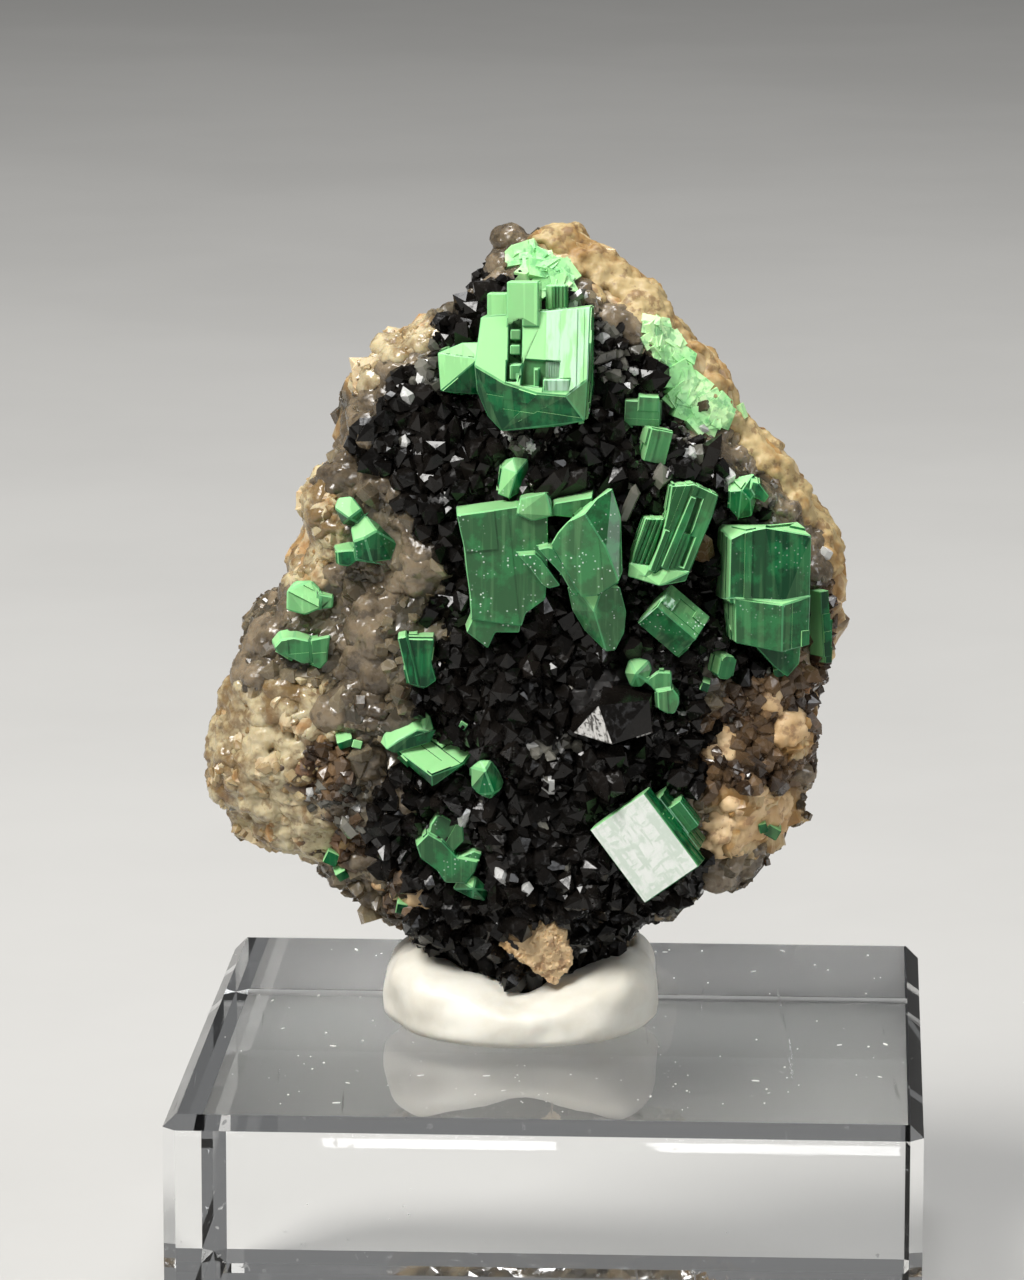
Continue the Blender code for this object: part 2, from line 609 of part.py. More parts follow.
BLADES = {
    "name": "torbernite_blades", "at": (-3.4, 20.6), "proud": 0.55,
    "parts": [
        Hull([
            (-0.99, 0.3, 0.19), (-0.38, 0.62, 0.39), (0.62, 0.74, 0.46), (1.4, 0.53, 0.33),
            (1.68, 0.13, 0.08),
            (1.35, -0.4, -0.25), (0.27, -0.9, -0.56), (-0.77, 0.03, 0.02),
            (-0.9, 0.5, -0.2), (0.3, -0.7, -0.98), (1.5, 0.2, -0.35), (1.3, 0.7, -0.1), (0.2, 1.1, -0.1),
        ]),
        Hull([
            (-1.51, 0.35, 0.33), (-1.38, 0.4, 0.64), (-0.95, 0.45, 1.03), (-0.47, 0.45, 1.17),
            (-0.05, 0.4, 1.12),
            (-1.3, -0.1, 0.2), (-0.86, -0.05, 0.55), (-0.25, -0.05, 0.86), (0.2, 0.05, 0.8),
            (0.25, 0.1, 0.4),
            (-1.0, -0.05, 0.05), (-1.2, 0.9, 0.3), (-0.1, 0.9, 0.7),
        ]),
        Hull([
            (-0.12, 0.25, 1.1), (0.05, 0.3, 1.45), (0.22, 0.25, 1.28), (0.34, 0.1, 0.85),
            (0.0, 0.0, 0.75),
            (0.3, 0.7, 0.9), (-0.1, 0.7, 0.9), (0.1, 0.6, 1.3),
        ]),
    ],
}
PELLET = {
    "name": "torbernite_pellet", "at": (-1.2, 19.7), "proud": 0.35,
    "parts": [
        Hull([
            (-0.58, -0.05, 0.55), (-0.28, -0.15, 0.82), (0.11, -0.15, 0.82), (-0.1, -0.45, 0.5),
            (0.2, -0.4, -0.3),
            (0.4, 0.0, 0.35), (0.55, 0.1, -0.05), (0.48, 0.0, -0.22), (0.07, -0.15, -0.58),
            (-0.32, -0.15, -0.4),
            (-0.58, -0.05, -0.15), (-0.4, 0.8, 0.5), (0.4, 0.8, 0.3), (0.2, 0.8, -0.3), (-0.4, 0.8, -0.2),
        ]),
    ],
}
FOOT_CLUSTER = {
    "name": "torbernite_foot_cluster", "at": (-2.5, 16.75), "proud": 0.35,
    "parts": [
        slab([
            (-1.26, 0.69), (-0.82, 1.14), (-0.3, 0.87), (0.32, 0.25), (1.06, 0.07), (0.93, -0.33),
            (0.58, -0.78),
            (-0.17, -0.78), (-0.52, -0.33), (-0.82, -0.07), (-1.13, 0.2),
        ], -0.45, 0.7, 0.1),
        slab([
            (-0.8, 1.0), (-0.73, 1.36), (-0.5, 1.7), (-0.3, 1.72), (0.49, 1.27), (0.53, 0.74),
            (0.1, 0.3), (-0.4, 0.7),
        ], -0.25),
        slab([(0.25, 0.2), (0.84, 0.47), (1.14, 0.33), (1.0, 0.0), (0.5, -0.1)], -0.3),
        Hull([
            (0.3, -0.3, -0.6), (0.88, -0.2, -0.5), (1.36, 0.0, -1.05), (1.19, 0.0, -1.45),
            (0.75, -0.2, -1.31),
            (0.05, -0.2, -0.96), (0.8, -0.45, -0.9), (0.4, 0.7, -0.6), (1.1, 0.7, -0.9), (0.8, 0.7, -1.2),
        ]),
    ],
}
RIND_SHEET = {
    "name": "torbernite_rind_sheet", "at": (5.0, 33.1), "proud": -0.05, "turn": -6, "tilt": -8, "roll": 38,
    "parts": [
        block((1.15, 0.6, 1.5), (-0.1, 0.0, 1.0), roll=4, corner=0.15),
        block((1.3, 0.6, 1.4), (0.05, 0.05, 0.0), roll=-5, corner=0.15),
        block((0.8, 0.6, 1.3), (0.15, 0.1, -1.0), roll=6, corner=0.2),
    ],
}
PEAK_SHEET = {
    "name": "torbernite_peak_sheet", "at": (0.7, 37.1), "proud": -0.05, "tilt": -28, "roll": 38,
    "parts": [block((0.75, 0.7, 1.5), corner=0.15), block((0.6, 0.7, 0.7), (0.1, 0.1, -0.7), roll=20)],
}
RIM_BLADES = {
    "name": "torbernite_rim_blades", "at": (10.1, 24.9), "proud": 0.1, "turn": 35, "roll": -3,
    "parts": [block((0.35, 1.1, 2.3)), block((0.3, 0.9, 1.5), (0.3, 0.2, -0.7), roll=6)],
}
CRYSTALS = [
    CROWN, CROWN_FLANK, SPLINTER, HEART, LATHS, STRIATED, TOWER, RIM_WEDGE, *PLAQUES, BEAD, BUD, MIRROR,
    KNOB_CLUSTER, KNOB_CAP, SHOULDER, ROLLED, BLADES, PELLET, FOOT_CLUSTER,
    RIND_SHEET, PEAK_SHEET, RIM_BLADES,
]


# Landmarks of the rock that are big enough to model one by one

PYRAMID_AT = (3.0, 22.2)
PYRAMID_CORNERS = [
    (-1.55, 0.6, -0.45), (-0.2, 0.6, 1.0), (1.5, 0.6, 0.7), (1.6, 0.6, -0.7), (-0.1, 0.6, -1.3),
    (-1.3, -0.2, -0.4), (-0.25, -0.2, 0.85), (1.3, -0.2, 0.55), (1.35, -0.2, -0.55), (-0.1, -0.3, -1.0),
    (-0.35, -1.35, 0.35),
]
FRAGMENT_AT = (0.6, 13.6)
FRAGMENT_CORNERS = [
    (-1.45, -0.5, 0.1), (-0.7, -0.7, 0.95), (0.6, -0.75, 1.1), (1.35, -0.3, 0.35), (1.1, -0.5, -0.6),
    (0.5, -0.6, -1.35), (-0.3, -0.85, -0.5), (-0.8, 0.9, 0.3), (0.9, 0.9, 0.5), (0.3, 0.9, -0.9),
    (0.1, -1.05, 0.35),
]


def smoky_pyramid(surface):
    """The large dark quartz point below the middle, seen from its pointed end."""
    place, _ = seat(surface, *PYRAMID_AT)
    bm = bmesh.new()
    for corner in PYRAMID_CORNERS:
        bm.verts.new(place + Vector(corner))
    bmesh.ops.convex_hull(bm, input=bm.verts)
    return object_from(bm, "smoky_pyramid")


def ochre_fragment(surface, name, swell=1.0):
    """The tan angular lump low on the front."""
    place, _ = seat(surface, *FRAGMENT_AT)
    bm = bmesh.new()
    for corner in FRAGMENT_CORNERS:
        bm.verts.new(place + Vector(corner) * swell)
    bmesh.ops.convex_hull(bm, input=bm.verts)
    return object_from(bm, name)


def build_rock(finish, surface, sockets, crystals):
    rock = object_from(rock_form(), "quartz_matrix", finish)
    thinned = rock.modifiers.new("thinned", "DECIMATE")
    thinned.ratio = ROCK_KEPT_FACES
    grown = quartz_points(surface, crystals)
    grown += [smoky_pyramid(surface), ochre_fragment(surface, "ochre_fragment")]
    combine(rock, "UNION", grown, "quartz")
    combine(rock, "DIFFERENCE", sockets, "sockets")


# Holder


def build_putty(finish, surface):
    """A soft dab pressed up round the foot of the rock, higher at its sides than in front."""
    bm = bmesh.new()
    bmesh.ops.create_icosphere(bm, subdivisions=PUTTY_FINENESS, radius=1)
    for vertex in bm.verts:
        way = vertex.co.normalized()
        side = abs(way.x)
        swell = 1 + PUTTY_WAVE * noise.noise(way * 2.3 + Vector((4, 0, 9)))
        x = PUTTY_WIDTH / 2 * math.copysign(side ** 0.9, way.x) * swell
        y = PUTTY_DEPTH / 2 * math.copysign(abs(way.y) ** 0.85, way.y) * swell
        horn = (1 - PUTTY_FRONT_SHARE) * min(1.0, abs(x) / PUTTY_SIDE_REACH) ** 1.5
        top = PUTTY_HEIGHT * (PUTTY_FRONT_SHARE + horn) + PUTTY_BACK_RISE * max(0.0, way.y)
        bend = PUTTY_TOP_ROUND if way.z > 0 else PUTTY_FOOT_ROUND
        height = max(0.0, 0.5 + 0.5 * math.copysign(abs(way.z) ** bend, way.z))
        vertex.co = (x, y, BASE_HEIGHT + PUTTY_SEAT + top * height ** 1.25)
    putty = object_from(bm, "mounting_putty", finish)
    press = object_from(rock_form(GAP), "rock_press")
    fragment = ochre_fragment(surface, "fragment_press", 1.2)
    combine(putty, "DIFFERENCE", [press, fragment], "print_of_the_rock")


def build_base(finish):
    bm = bmesh.new()
    bmesh.ops.create_cube(bm, size=1)
    bmesh.ops.scale(bm, vec=(BASE_SIDE, BASE_SIDE, BASE_HEIGHT), verts=bm.verts)
    bmesh.ops.bevel(bm, geom=bm.edges, offset=BASE_EDGE, offset_type="OFFSET", segments=1, affect="EDGES")
    base = object_from(bm, "acrylic_base", finish)
    base.location = (BASE_SHIFT * MM, 0, BASE_HEIGHT / 2 * MM)
    base.rotation_euler.z = math.radians(BASE_TURN)


def build():
    clear_scene()
    green = material("torbernite_green", (0.06, 0.42, 0.18), 0.25)
    smoky = material("smoky_quartz", (0.05, 0.04, 0.035), 0.3)
    white = material("white_putty", (0.78, 0.76, 0.68), 0.6)
    clear = material("clear_acrylic", (0.95, 0.97, 0.97), 0.03, transmission=1.0)
    form = rock_form()
    surface = BVHTree.FromBMesh(form)
    form.free()
    sockets = []
    crystals = []
    for spec in CRYSTALS:
        cutters, spot = crystal(surface, green, spec)
        sockets += cutters
        crystals.append(spot)
    build_rock(smoky, surface, sockets, crystals)
    build_putty(white, surface)
    build_base(clear)


build()
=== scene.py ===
import math
import random

import bmesh
import bpy
import numpy as np
from mathutils import Matrix, Vector, noise
from mathutils.bvhtree import BVHTree
from mathutils.kdtree import KDTree


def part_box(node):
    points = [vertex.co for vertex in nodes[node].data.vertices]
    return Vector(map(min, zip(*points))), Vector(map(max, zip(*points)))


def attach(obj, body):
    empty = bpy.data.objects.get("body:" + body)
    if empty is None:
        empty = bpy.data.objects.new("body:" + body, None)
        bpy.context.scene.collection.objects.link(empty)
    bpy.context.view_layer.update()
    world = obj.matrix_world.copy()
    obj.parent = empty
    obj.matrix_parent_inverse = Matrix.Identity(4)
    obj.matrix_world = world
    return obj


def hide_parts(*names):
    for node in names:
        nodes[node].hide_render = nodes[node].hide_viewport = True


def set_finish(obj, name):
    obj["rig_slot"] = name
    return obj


# Torbernite on smoky quartz. Shapes are worked out in millimetres and scaled when they become objects.
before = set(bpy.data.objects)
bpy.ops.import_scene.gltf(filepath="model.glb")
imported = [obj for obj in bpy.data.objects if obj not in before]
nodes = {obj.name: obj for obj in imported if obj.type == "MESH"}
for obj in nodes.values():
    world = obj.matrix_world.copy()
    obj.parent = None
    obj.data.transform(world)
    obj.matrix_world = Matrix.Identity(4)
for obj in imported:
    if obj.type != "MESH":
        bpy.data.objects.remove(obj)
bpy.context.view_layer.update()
mm = 0.001
print("frame loaded,", len(nodes), "solids")

# camera, floor and light

camera = {"target": (-0.38, 0.0, 23.85), "distance": 216.0, "down": 11.2, "lens": 116.4, "sensorHeight": 24.0}
floorLook = {"side": 3000.0, "drop": 0.03, "colour": (0.47, 0.465, 0.45)}
lights = [
    {"name": "keySoftbox", "at": (-230, -260, 420), "size": 190, "power": 3.6, "colour": (1.0, 0.98, 0.95)},
    {"name": "topSoftbox", "at": (30, 60, 430), "size": 170, "power": 1.3, "colour": (1.0, 1.0, 1.0)},
    {"name": "rightFill", "at": (420, -260, 160), "size": 200, "power": 0.7, "colour": (0.95, 0.97, 1.0)},
]
worldLight = {"colour": (0.80, 0.81, 0.82), "strength": 0.20}


def placeCamera():
    down = math.radians(camera["down"])
    data = bpy.data.cameras.new("camera")
    data.sensor_fit = "VERTICAL"
    data.sensor_height = camera["sensorHeight"]
    data.lens = camera["lens"]
    eye = bpy.data.objects.new("camera", data)
    back = Vector((0, -math.cos(down), math.sin(down))) * camera["distance"]
    eye.location = (Vector(camera["target"]) + back) * mm
    eye.rotation_euler = (math.pi / 2 - down, 0, 0)
    bpy.context.scene.collection.objects.link(eye)
    bpy.context.scene.camera = eye


def placeLights():
    for light in lights:
        data = bpy.data.lights.new(light["name"], "AREA")
        data.size = light["size"] * mm
        data.energy = light["power"]
        data.color = light["colour"]
        lamp = bpy.data.objects.new(light["name"], data)
        lamp.location = Vector(light["at"]) * mm
        toSpecimen = Vector((0, 0, 22)) - Vector(light["at"])
        lamp.rotation_euler = toSpecimen.to_track_quat("-Z", "Y").to_euler()
        bpy.context.scene.collection.objects.link(lamp)
    world = bpy.data.worlds.new("softRoom")
    world.use_nodes = True
    background = world.node_tree.nodes["Background"]
    background.inputs["Color"].default_value = (*worldLight["colour"], 1)
    background.inputs["Strength"].default_value = worldLight["strength"]
    bpy.context.scene.world = world
    bpy.context.scene.view_settings.view_transform = "Standard"


placeCamera()
placeLights()
print("camera and lights placed")

# shader groups shared by the finishes


def put(tree, kind, sockets=None, **settings):
    # one shader node, with its sockets linked or set
    made = tree.nodes.new("ShaderNode" + kind)
    for name, value in settings.items():
        setattr(made, name, value)
    for name, value in (sockets or {}).items():
        if isinstance(value, bpy.types.NodeSocket):
            tree.links.new(value, made.inputs[name])
        else:
            made.inputs[name].default_value = value
    return made


def newGroup(name, inputs, outputs):
    tree = bpy.data.node_groups.new(name, "ShaderNodeTree")
    for label, kind, value in inputs:
        socket = tree.interface.new_socket(name=label, in_out="INPUT", socket_type="NodeSocket" + kind)
        socket.default_value = value
    for label, kind in outputs:
        tree.interface.new_socket(name=label, in_out="OUTPUT", socket_type="NodeSocket" + kind)
    return tree, tree.nodes.new("NodeGroupInput").outputs, tree.nodes.new("NodeGroupOutput").inputs


def useGroup(tree, name, sockets):
    placed = tree.nodes.new("ShaderNodeGroup")
    placed.node_tree = bpy.data.node_groups[name]
    for label, value in sockets.items():
        if isinstance(value, bpy.types.NodeSocket):
            tree.links.new(value, placed.inputs[label])
        else:
            placed.inputs[label].default_value = value
    return placed.outputs


def blendColour(tree, factor, first, second, mode="MIX"):
    mixed = put(tree, "Mix", data_type="RGBA", blend_type=mode)
    for index, value in ((0, factor), (6, first), (7, second)):
        if isinstance(value, bpy.types.NodeSocket):
            tree.links.new(value, mixed.inputs[index])
        else:
            mixed.inputs[index].default_value = value if index == 0 else (*value[:3], 1)
    return mixed.outputs[2]


def doMath(tree, operation, first, second=0.0, clamp=False):
    made = put(tree, "Math", {0: first, 1: second}, operation=operation, use_clamp=clamp)
    return made.outputs[0]


def ramp(tree, value, low, high, start=0.0, end=1.0):
    made = put(tree, "MapRange", {"Value": value, "From Min": low, "From Max": high, "To Min": start, "To Max": end})
    made.interpolation_type = "SMOOTHSTEP"
    return made.outputs[0]


def buildGroups():
    # patches of a second tint, in two sizes
    tree, given, out = newGroup(
        "mottledTint",
        [("Colour A", "Color", (1, 1, 1, 1)), ("Colour B", "Color", (0, 0, 0, 1)), ("Scale", "Float", 600.0),
         ("Share", "Float", 0.5), ("Softness", "Float", 0.15)],
        [("Colour", "Color"), ("Mask", "Float")],
    )
    place = put(tree, "TexCoord").outputs["Object"]
    broad = put(tree, "TexNoise", {"Vector": place, "Scale": given["Scale"], "Detail": 6.0, "Roughness": 0.62})
    cut = doMath(tree, "SUBTRACT", 1.0, given["Share"])
    low = doMath(tree, "SUBTRACT", cut, given["Softness"])
    high = doMath(tree, "ADD", cut, given["Softness"])
    spread = ramp(tree, broad.outputs["Fac"], 0.28, 0.72)
    mask = ramp(tree, spread, low, high)
    tree.links.new(blendColour(tree, mask, given["Colour A"], given["Colour B"]), out["Colour"])
    tree.links.new(mask, out["Mask"])

    # sugary grain: fine relief and the light tops of the grains
    tree, given, out = newGroup(
        "sugarGrain", [("Scale", "Float", 3000.0)], [("Height", "Float"), ("Tops", "Float")]
    )
    place = put(tree, "TexCoord").outputs["Object"]
    cells = put(tree, "TexVoronoi", {"Vector": place, "Scale": given["Scale"]})
    soft = put(tree, "TexNoise", {"Vector": place, "Scale": given["Scale"], "Detail": 5.0, "Roughness": 0.6})
    height = doMath(tree, "ADD", doMath(tree, "MULTIPLY", cells.outputs["Distance"], 0.7), soft.outputs["Fac"])
    tree.links.new(height, out["Height"])
    tree.links.new(ramp(tree, height, 0.75, 1.15), out["Tops"])

    # small pale specks scattered on a face
    tree, given, out = newGroup(
        "paleSpecks", [("Scale", "Float", 5000.0), ("Amount", "Float", 0.2)], [("Mask", "Float")]
    )
    place = put(tree, "TexCoord").outputs["Object"]
    dots = put(tree, "TexVoronoi", {"Vector": place, "Scale": given["Scale"]})
    chosen = put(tree, "SeparateColor", {"Color": dots.outputs["Color"]}).outputs[0]
    small = ramp(tree, dots.outputs["Distance"], 0.30, 0.14)
    few = doMath(tree, "LESS_THAN", chosen, given["Amount"])
    drift = put(tree, "TexNoise", {"Vector": place, "Scale": 1100.0, "Detail": 3.0})
    gathered = ramp(tree, drift.outputs["Fac"], 0.46, 0.62)
    tree.links.new(doMath(tree, "MULTIPLY", doMath(tree, "MULTIPLY", small, few), gathered), out["Mask"])

    # fine lines along a crystal's upright axis
    tree, given, out = newGroup(
        "uprightLines", [("Scale", "Float", 3500.0)], [("Height", "Float"), ("Mask", "Float")]
    )
    place = put(tree, "TexCoord").outputs["Object"]
    drawn = put(tree, "Mapping", {"Vector": place, "Scale": (1.0, 0.6, 0.05)})
    lines = put(tree, "TexNoise", {"Vector": drawn.outputs[0], "Scale": given["Scale"], "Detail": 4.0})
    tree.links.new(lines.outputs["Fac"], out["Height"])
    tree.links.new(ramp(tree, lines.outputs["Fac"], 0.5, 0.64), out["Mask"])


buildGroups()
print("shader groups built")

# finishes


def newFinish(name):
    made = bpy.data.materials.new(name)
    made.use_nodes = True
    tree = made.node_tree
    return made, tree, tree.nodes["Principled BSDF"]


def readMask(tree, name):
    return put(tree, "Attribute", attribute_name=name).outputs["Fac"]


def bump(tree, shader, height, strength, distance):
    made = put(tree, "Bump", {"Height": height, "Strength": strength, "Distance": distance * mm})
    tree.links.new(made.outputs["Normal"], shader.inputs["Normal"])


def setSockets(shader, **values):
    for name, value in values.items():
        shader.inputs[name.replace("_", " ")].default_value = value


# mint is the pale colour painted on faces turned towards the key light (painted light) and on the pale streaks
greenLook = {
    "deep": (0.001, 0.040, 0.013), "middle": (0.004, 0.115, 0.034), "mint": (0.31, 0.66, 0.28),
    # edge is the lighter green painted on bevels: a painted highlight along the rims
    "edge": (0.13, 0.46, 0.21), "rimHighlightShare": 0.34, "speck": (0.80, 0.93, 0.84), "lineScale": 3600.0, "mottleScale": 900.0,
    # white is the pale colour of hatched patches painted as a glint: painted highlight
    "streaks": 0.24, "coat": 0.05, "coatRough": 0.05, "white": (0.50, 0.70, 0.57),
}


def greenFinish():
    made, tree, shader = newFinish("torbernite")
    look = greenLook
    # faces turned towards the key light are mixed towards mint: painted light; the upright streaks add real pale lines
    # on top
    frost = readMask(tree, "frost")
    lines = useGroup(tree, "uprightLines", {"Scale": look["lineScale"]})
    body = useGroup(tree, "mottledTint", {
        "Colour A": (*look["deep"], 1), "Colour B": (*look["middle"], 1), "Scale": look["mottleScale"],
        "Share": 0.45, "Softness": 0.2,
    })
    streaked = doMath(tree, "MULTIPLY", lines["Mask"], look["streaks"])
    litPlusStreaks = doMath(tree, "ADD", frost, doMath(tree, "MULTIPLY", streaked, doMath(tree, "ADD", frost, 0.3)), True)
    colour = blendColour(tree, litPlusStreaks, body["Colour"], look["mint"])
    # bevel faces are painted lighter green: painted highlight along the edges
    rim = doMath(tree, "MULTIPLY", readMask(tree, "rim"), look["rimHighlightShare"])
    colour = blendColour(tree, rim, colour, look["edge"])
    specks = useGroup(tree, "paleSpecks", {"Scale": 7500.0, "Amount": 0.5})
    shown = doMath(tree, "MULTIPLY", specks["Mask"], readMask(tree, "specked"))
    colour = blendColour(tree, shown, colour, look["speck"])
    # hatching laid over the patches painted as a glint: painted highlight
    hatchedGlint = ramp(tree, lines["Height"], 0.40, 0.56)
    colour = blendColour(tree, doMath(tree, "MULTIPLY", hatchedGlint, readMask(tree, "white")), colour, look["white"])
    tree.links.new(colour, shader.inputs["Base Color"])
    tree.links.new(ramp(tree, litPlusStreaks, 0.0, 1.0, 0.11, 0.38), shader.inputs["Roughness"])
    setSockets(shader, IOR=1.59, Subsurface_Weight=0.25, Subsurface_Radius=(0.25, 1.0, 0.45), Subsurface_Scale=0.4 * mm)
    setSockets(shader, Coat_Weight=look["coat"], Coat_Roughness=look["coatRough"], Specular_IOR_Level=0.16)
    height = doMath(tree, "ADD", lines["Height"], doMath(tree, "MULTIPLY", shown, 0.6))
    bump(tree, shader, height, 0.35, 0.022)
    return made


# faces painted white to stand for light off them, the mirror face as a painted reflection and the hatched face as a
# painted glint, with streaks or hatching along two directions
streakedLooks = {
    "paintedReflection": {"face": (0.73, 0.76, 0.72), "streak": (0.55, 0.63, 0.55), "scale": 2400.0, "cut": 0.46, "patch": 0.30},
    "hatchedGlint": {"face": (0.62, 0.61, 0.59), "streak": (0.05, 0.045, 0.04), "scale": 3400.0, "cut": 0.50, "patch": 0.22},
}


def streakedFinish(name):
    look = streakedLooks[name]
    cut = look["cut"]
    made, tree, shader = newFinish(name + "Face")
    place = put(tree, "TexCoord").outputs["Object"]
    first = put(tree, "Mapping", {"Vector": place, "Rotation": (0, 0.7, 0), "Scale": (1.0, 1.0, 0.12)})
    second = put(tree, "Mapping", {"Vector": place, "Rotation": (0, -0.8, 0), "Scale": (0.12, 1.0, 1.0)})
    noiseA = put(tree, "TexNoise", {"Vector": first.outputs[0], "Scale": look["scale"] * 2.4, "Detail": 4.0})
    noiseB = put(tree, "TexNoise", {"Vector": second.outputs[0], "Scale": look["scale"] * 2.4, "Detail": 4.0})
    patch = put(tree, "TexNoise", {"Vector": place, "Scale": look["scale"], "Detail": 3.0})
    streaks = doMath(tree, "MAXIMUM", ramp(tree, noiseA.outputs["Fac"], cut, cut + 0.12), ramp(tree, noiseB.outputs["Fac"], cut, cut + 0.12))
    streaks = doMath(tree, "MULTIPLY", streaks, ramp(tree, patch.outputs["Fac"], look["patch"], look["patch"] + 0.2))
    colour = blendColour(tree, streaks, look["face"], look["streak"])
    tree.links.new(colour, shader.inputs["Base Color"])
    tree.links.new(ramp(tree, streaks, 0.0, 1.0, 0.22, 0.5), shader.inputs["Roughness"])
    setSockets(shader, IOR=1.6, Coat_Weight=0.4, Coat_Roughness=0.12)
    bump(tree, shader, streaks, 0.25, 0.015)
    return made


# quartz that stands in points and grains: the darkest and lightest tint of the crystals, and how clear they are
quartzLooks = {
    "blackQuartz": {"dark": (0.002, 0.0018, 0.0016), "light": (0.011, 0.009, 0.0075), "rough": (0.10, 0.28), "clear": 0.0,
                    "shine": 0.22},
    "brownQuartz": {"dark": (0.045, 0.034, 0.021), "light": (0.22, 0.18, 0.115), "rough": (0.12, 0.4), "clear": 0.0,
                    "shine": 0.45},
    "creamQuartz": {"dark": (0.24, 0.15, 0.06), "light": (0.58, 0.49, 0.30), "rough": (0.2, 0.5), "clear": 0.0,
                    "shine": 0.45},
    "rustQuartz": {"dark": (0.022, 0.013, 0.008), "light": (0.20, 0.125, 0.065), "rough": (0.15, 0.5), "clear": 0.0,
                    "shine": 0.45},
    "greyQuartz": {"dark": (0.05, 0.048, 0.04), "light": (0.26, 0.25, 0.21), "rough": (0.08, 0.25), "clear": 0.2,
                   "shine": 0.5},
    # near-white points: milky quartz made brighter to stand for glints, partly its own colour and partly painted
    # highlight
    "milkyGlintQuartz": {"dark": (0.55, 0.55, 0.53), "light": (0.86, 0.86, 0.84), "rough": (0.1, 0.3), "clear": 0.25, "shine": 0.5},
}


def quartzFinish(name):
    look = quartzLooks[name]
    made, tree, shader = newFinish(name)
    cloud = useGroup(tree, "mottledTint", {
        "Colour A": (*look["dark"], 1), "Colour B": (*look["light"], 1), "Scale": 700.0, "Share": 0.45, "Softness": 0.4,
    })
    tint = readMask(tree, "tint")
    mixed = blendColour(tree, tint, look["dark"], look["light"])
    colour = blendColour(tree, 0.35, mixed, cloud["Colour"])
    tree.links.new(colour, shader.inputs["Base Color"])
    grain = useGroup(tree, "sugarGrain", {"Scale": 5200.0})
    low, high = look["rough"]
    tree.links.new(ramp(tree, grain["Tops"], 0.0, 1.0, low, high), shader.inputs["Roughness"])
    setSockets(shader, IOR=1.54, Transmission_Weight=look["clear"], Specular_IOR_Level=look["shine"])
    if name in ("brownQuartz", "creamQuartz"):
        setSockets(shader, Subsurface_Weight=0.4, Subsurface_Radius=(1.0, 0.7, 0.45), Subsurface_Scale=0.5 * mm)
    bump(tree, shader, grain["Height"], 0.12, 0.02)
    return made


rockLook = {
    "black": (0.007, 0.0055, 0.005), "smoky": (0.050, 0.041, 0.026), "smokyPale": (0.17, 0.14, 0.090),
    "cream": (0.60, 0.49, 0.31), "creamDeep": (0.38, 0.22, 0.09), "rust": (0.050, 0.026, 0.013),
    "rustPale": (0.21, 0.115, 0.06), "ochre": (0.33, 0.19, 0.065), "ochrePale": (0.50, 0.38, 0.21),
}


def rockFinish():
    made, tree, shader = newFinish("quartzRock")
    look = rockLook

    def mottled(first, second, scale, share):
        return useGroup(tree, "mottledTint", {
            "Colour A": (*look[first], 1), "Colour B": (*look[second], 1), "Scale": scale, "Share": share,
            "Softness": 0.25,
        })["Colour"]

    colour = mottled("smoky", "smokyPale", 420.0, 0.4)
    for zone, first, second, scale, share in (
        ("cream", "cream", "creamDeep", 650.0, 0.4), ("rust", "rust", "rustPale", 800.0, 0.35),
        ("ochre", "ochre", "ochrePale", 750.0, 0.5), ("black", "black", "black", 500.0, 0.5),
    ):
        colour = blendColour(tree, readMask(tree, zone), colour, mottled(first, second, scale, share))
    tree.links.new(colour, shader.inputs["Base Color"])
    grain = useGroup(tree, "sugarGrain", {"Scale": 2600.0})
    dull = ramp(tree, grain["Tops"], 0.0, 1.0, 0.35, 0.75)
    glassy = ramp(tree, grain["Tops"], 0.0, 1.0, 0.14, 0.35)
    smooth = readMask(tree, "glassy")
    shine = doMath(tree, "ADD", doMath(tree, "MULTIPLY", glassy, smooth),
                   doMath(tree, "MULTIPLY", dull, doMath(tree, "SUBTRACT", 1.0, smooth)))
    tree.links.new(shine, shader.inputs["Roughness"])
    setSockets(shader, IOR=1.5, Subsurface_Weight=0.3, Subsurface_Radius=(1.0, 0.65, 0.4), Subsurface_Scale=0.4 * mm)
    bump(tree, shader, grain["Height"], 0.35, 0.04)
    return made


def crustFinish(name, first, second, third, roughness, depth=0.15):
    # dull earthy crusts, with a third tint in the pits
    made, tree, shader = newFinish(name)
    base = useGroup(tree, "mottledTint", {
        "Colour A": (*first, 1), "Colour B": (*second, 1), "Scale": 520.0, "Share": 0.5, "Softness": 0.3,
    })["Colour"]
    pits = useGroup(tree, "mottledTint", {
        "Colour A": (1, 1, 1, 1), "Colour B": (0, 0, 0, 1), "Scale": 1900.0, "Share": 0.28, "Softness": 0.12,
    })["Mask"]
    colour = blendColour(tree, doMath(tree, "MULTIPLY", pits, 0.6), base, third)
    tree.links.new(colour, shader.inputs["Base Color"])
    grain = useGroup(tree, "sugarGrain", {"Scale": 3800.0})
    tree.links.new(ramp(tree, grain["Tops"], 0.0, 1.0, roughness, min(1.0, roughness + 0.25)), shader.inputs["Roughness"])
    setSockets(shader, IOR=1.5, Subsurface_Weight=depth, Subsurface_Radius=(1.0, 0.7, 0.4), Subsurface_Scale=2 * depth * mm)
    bump(tree, shader, grain["Height"], 0.32, 0.045)
    return made


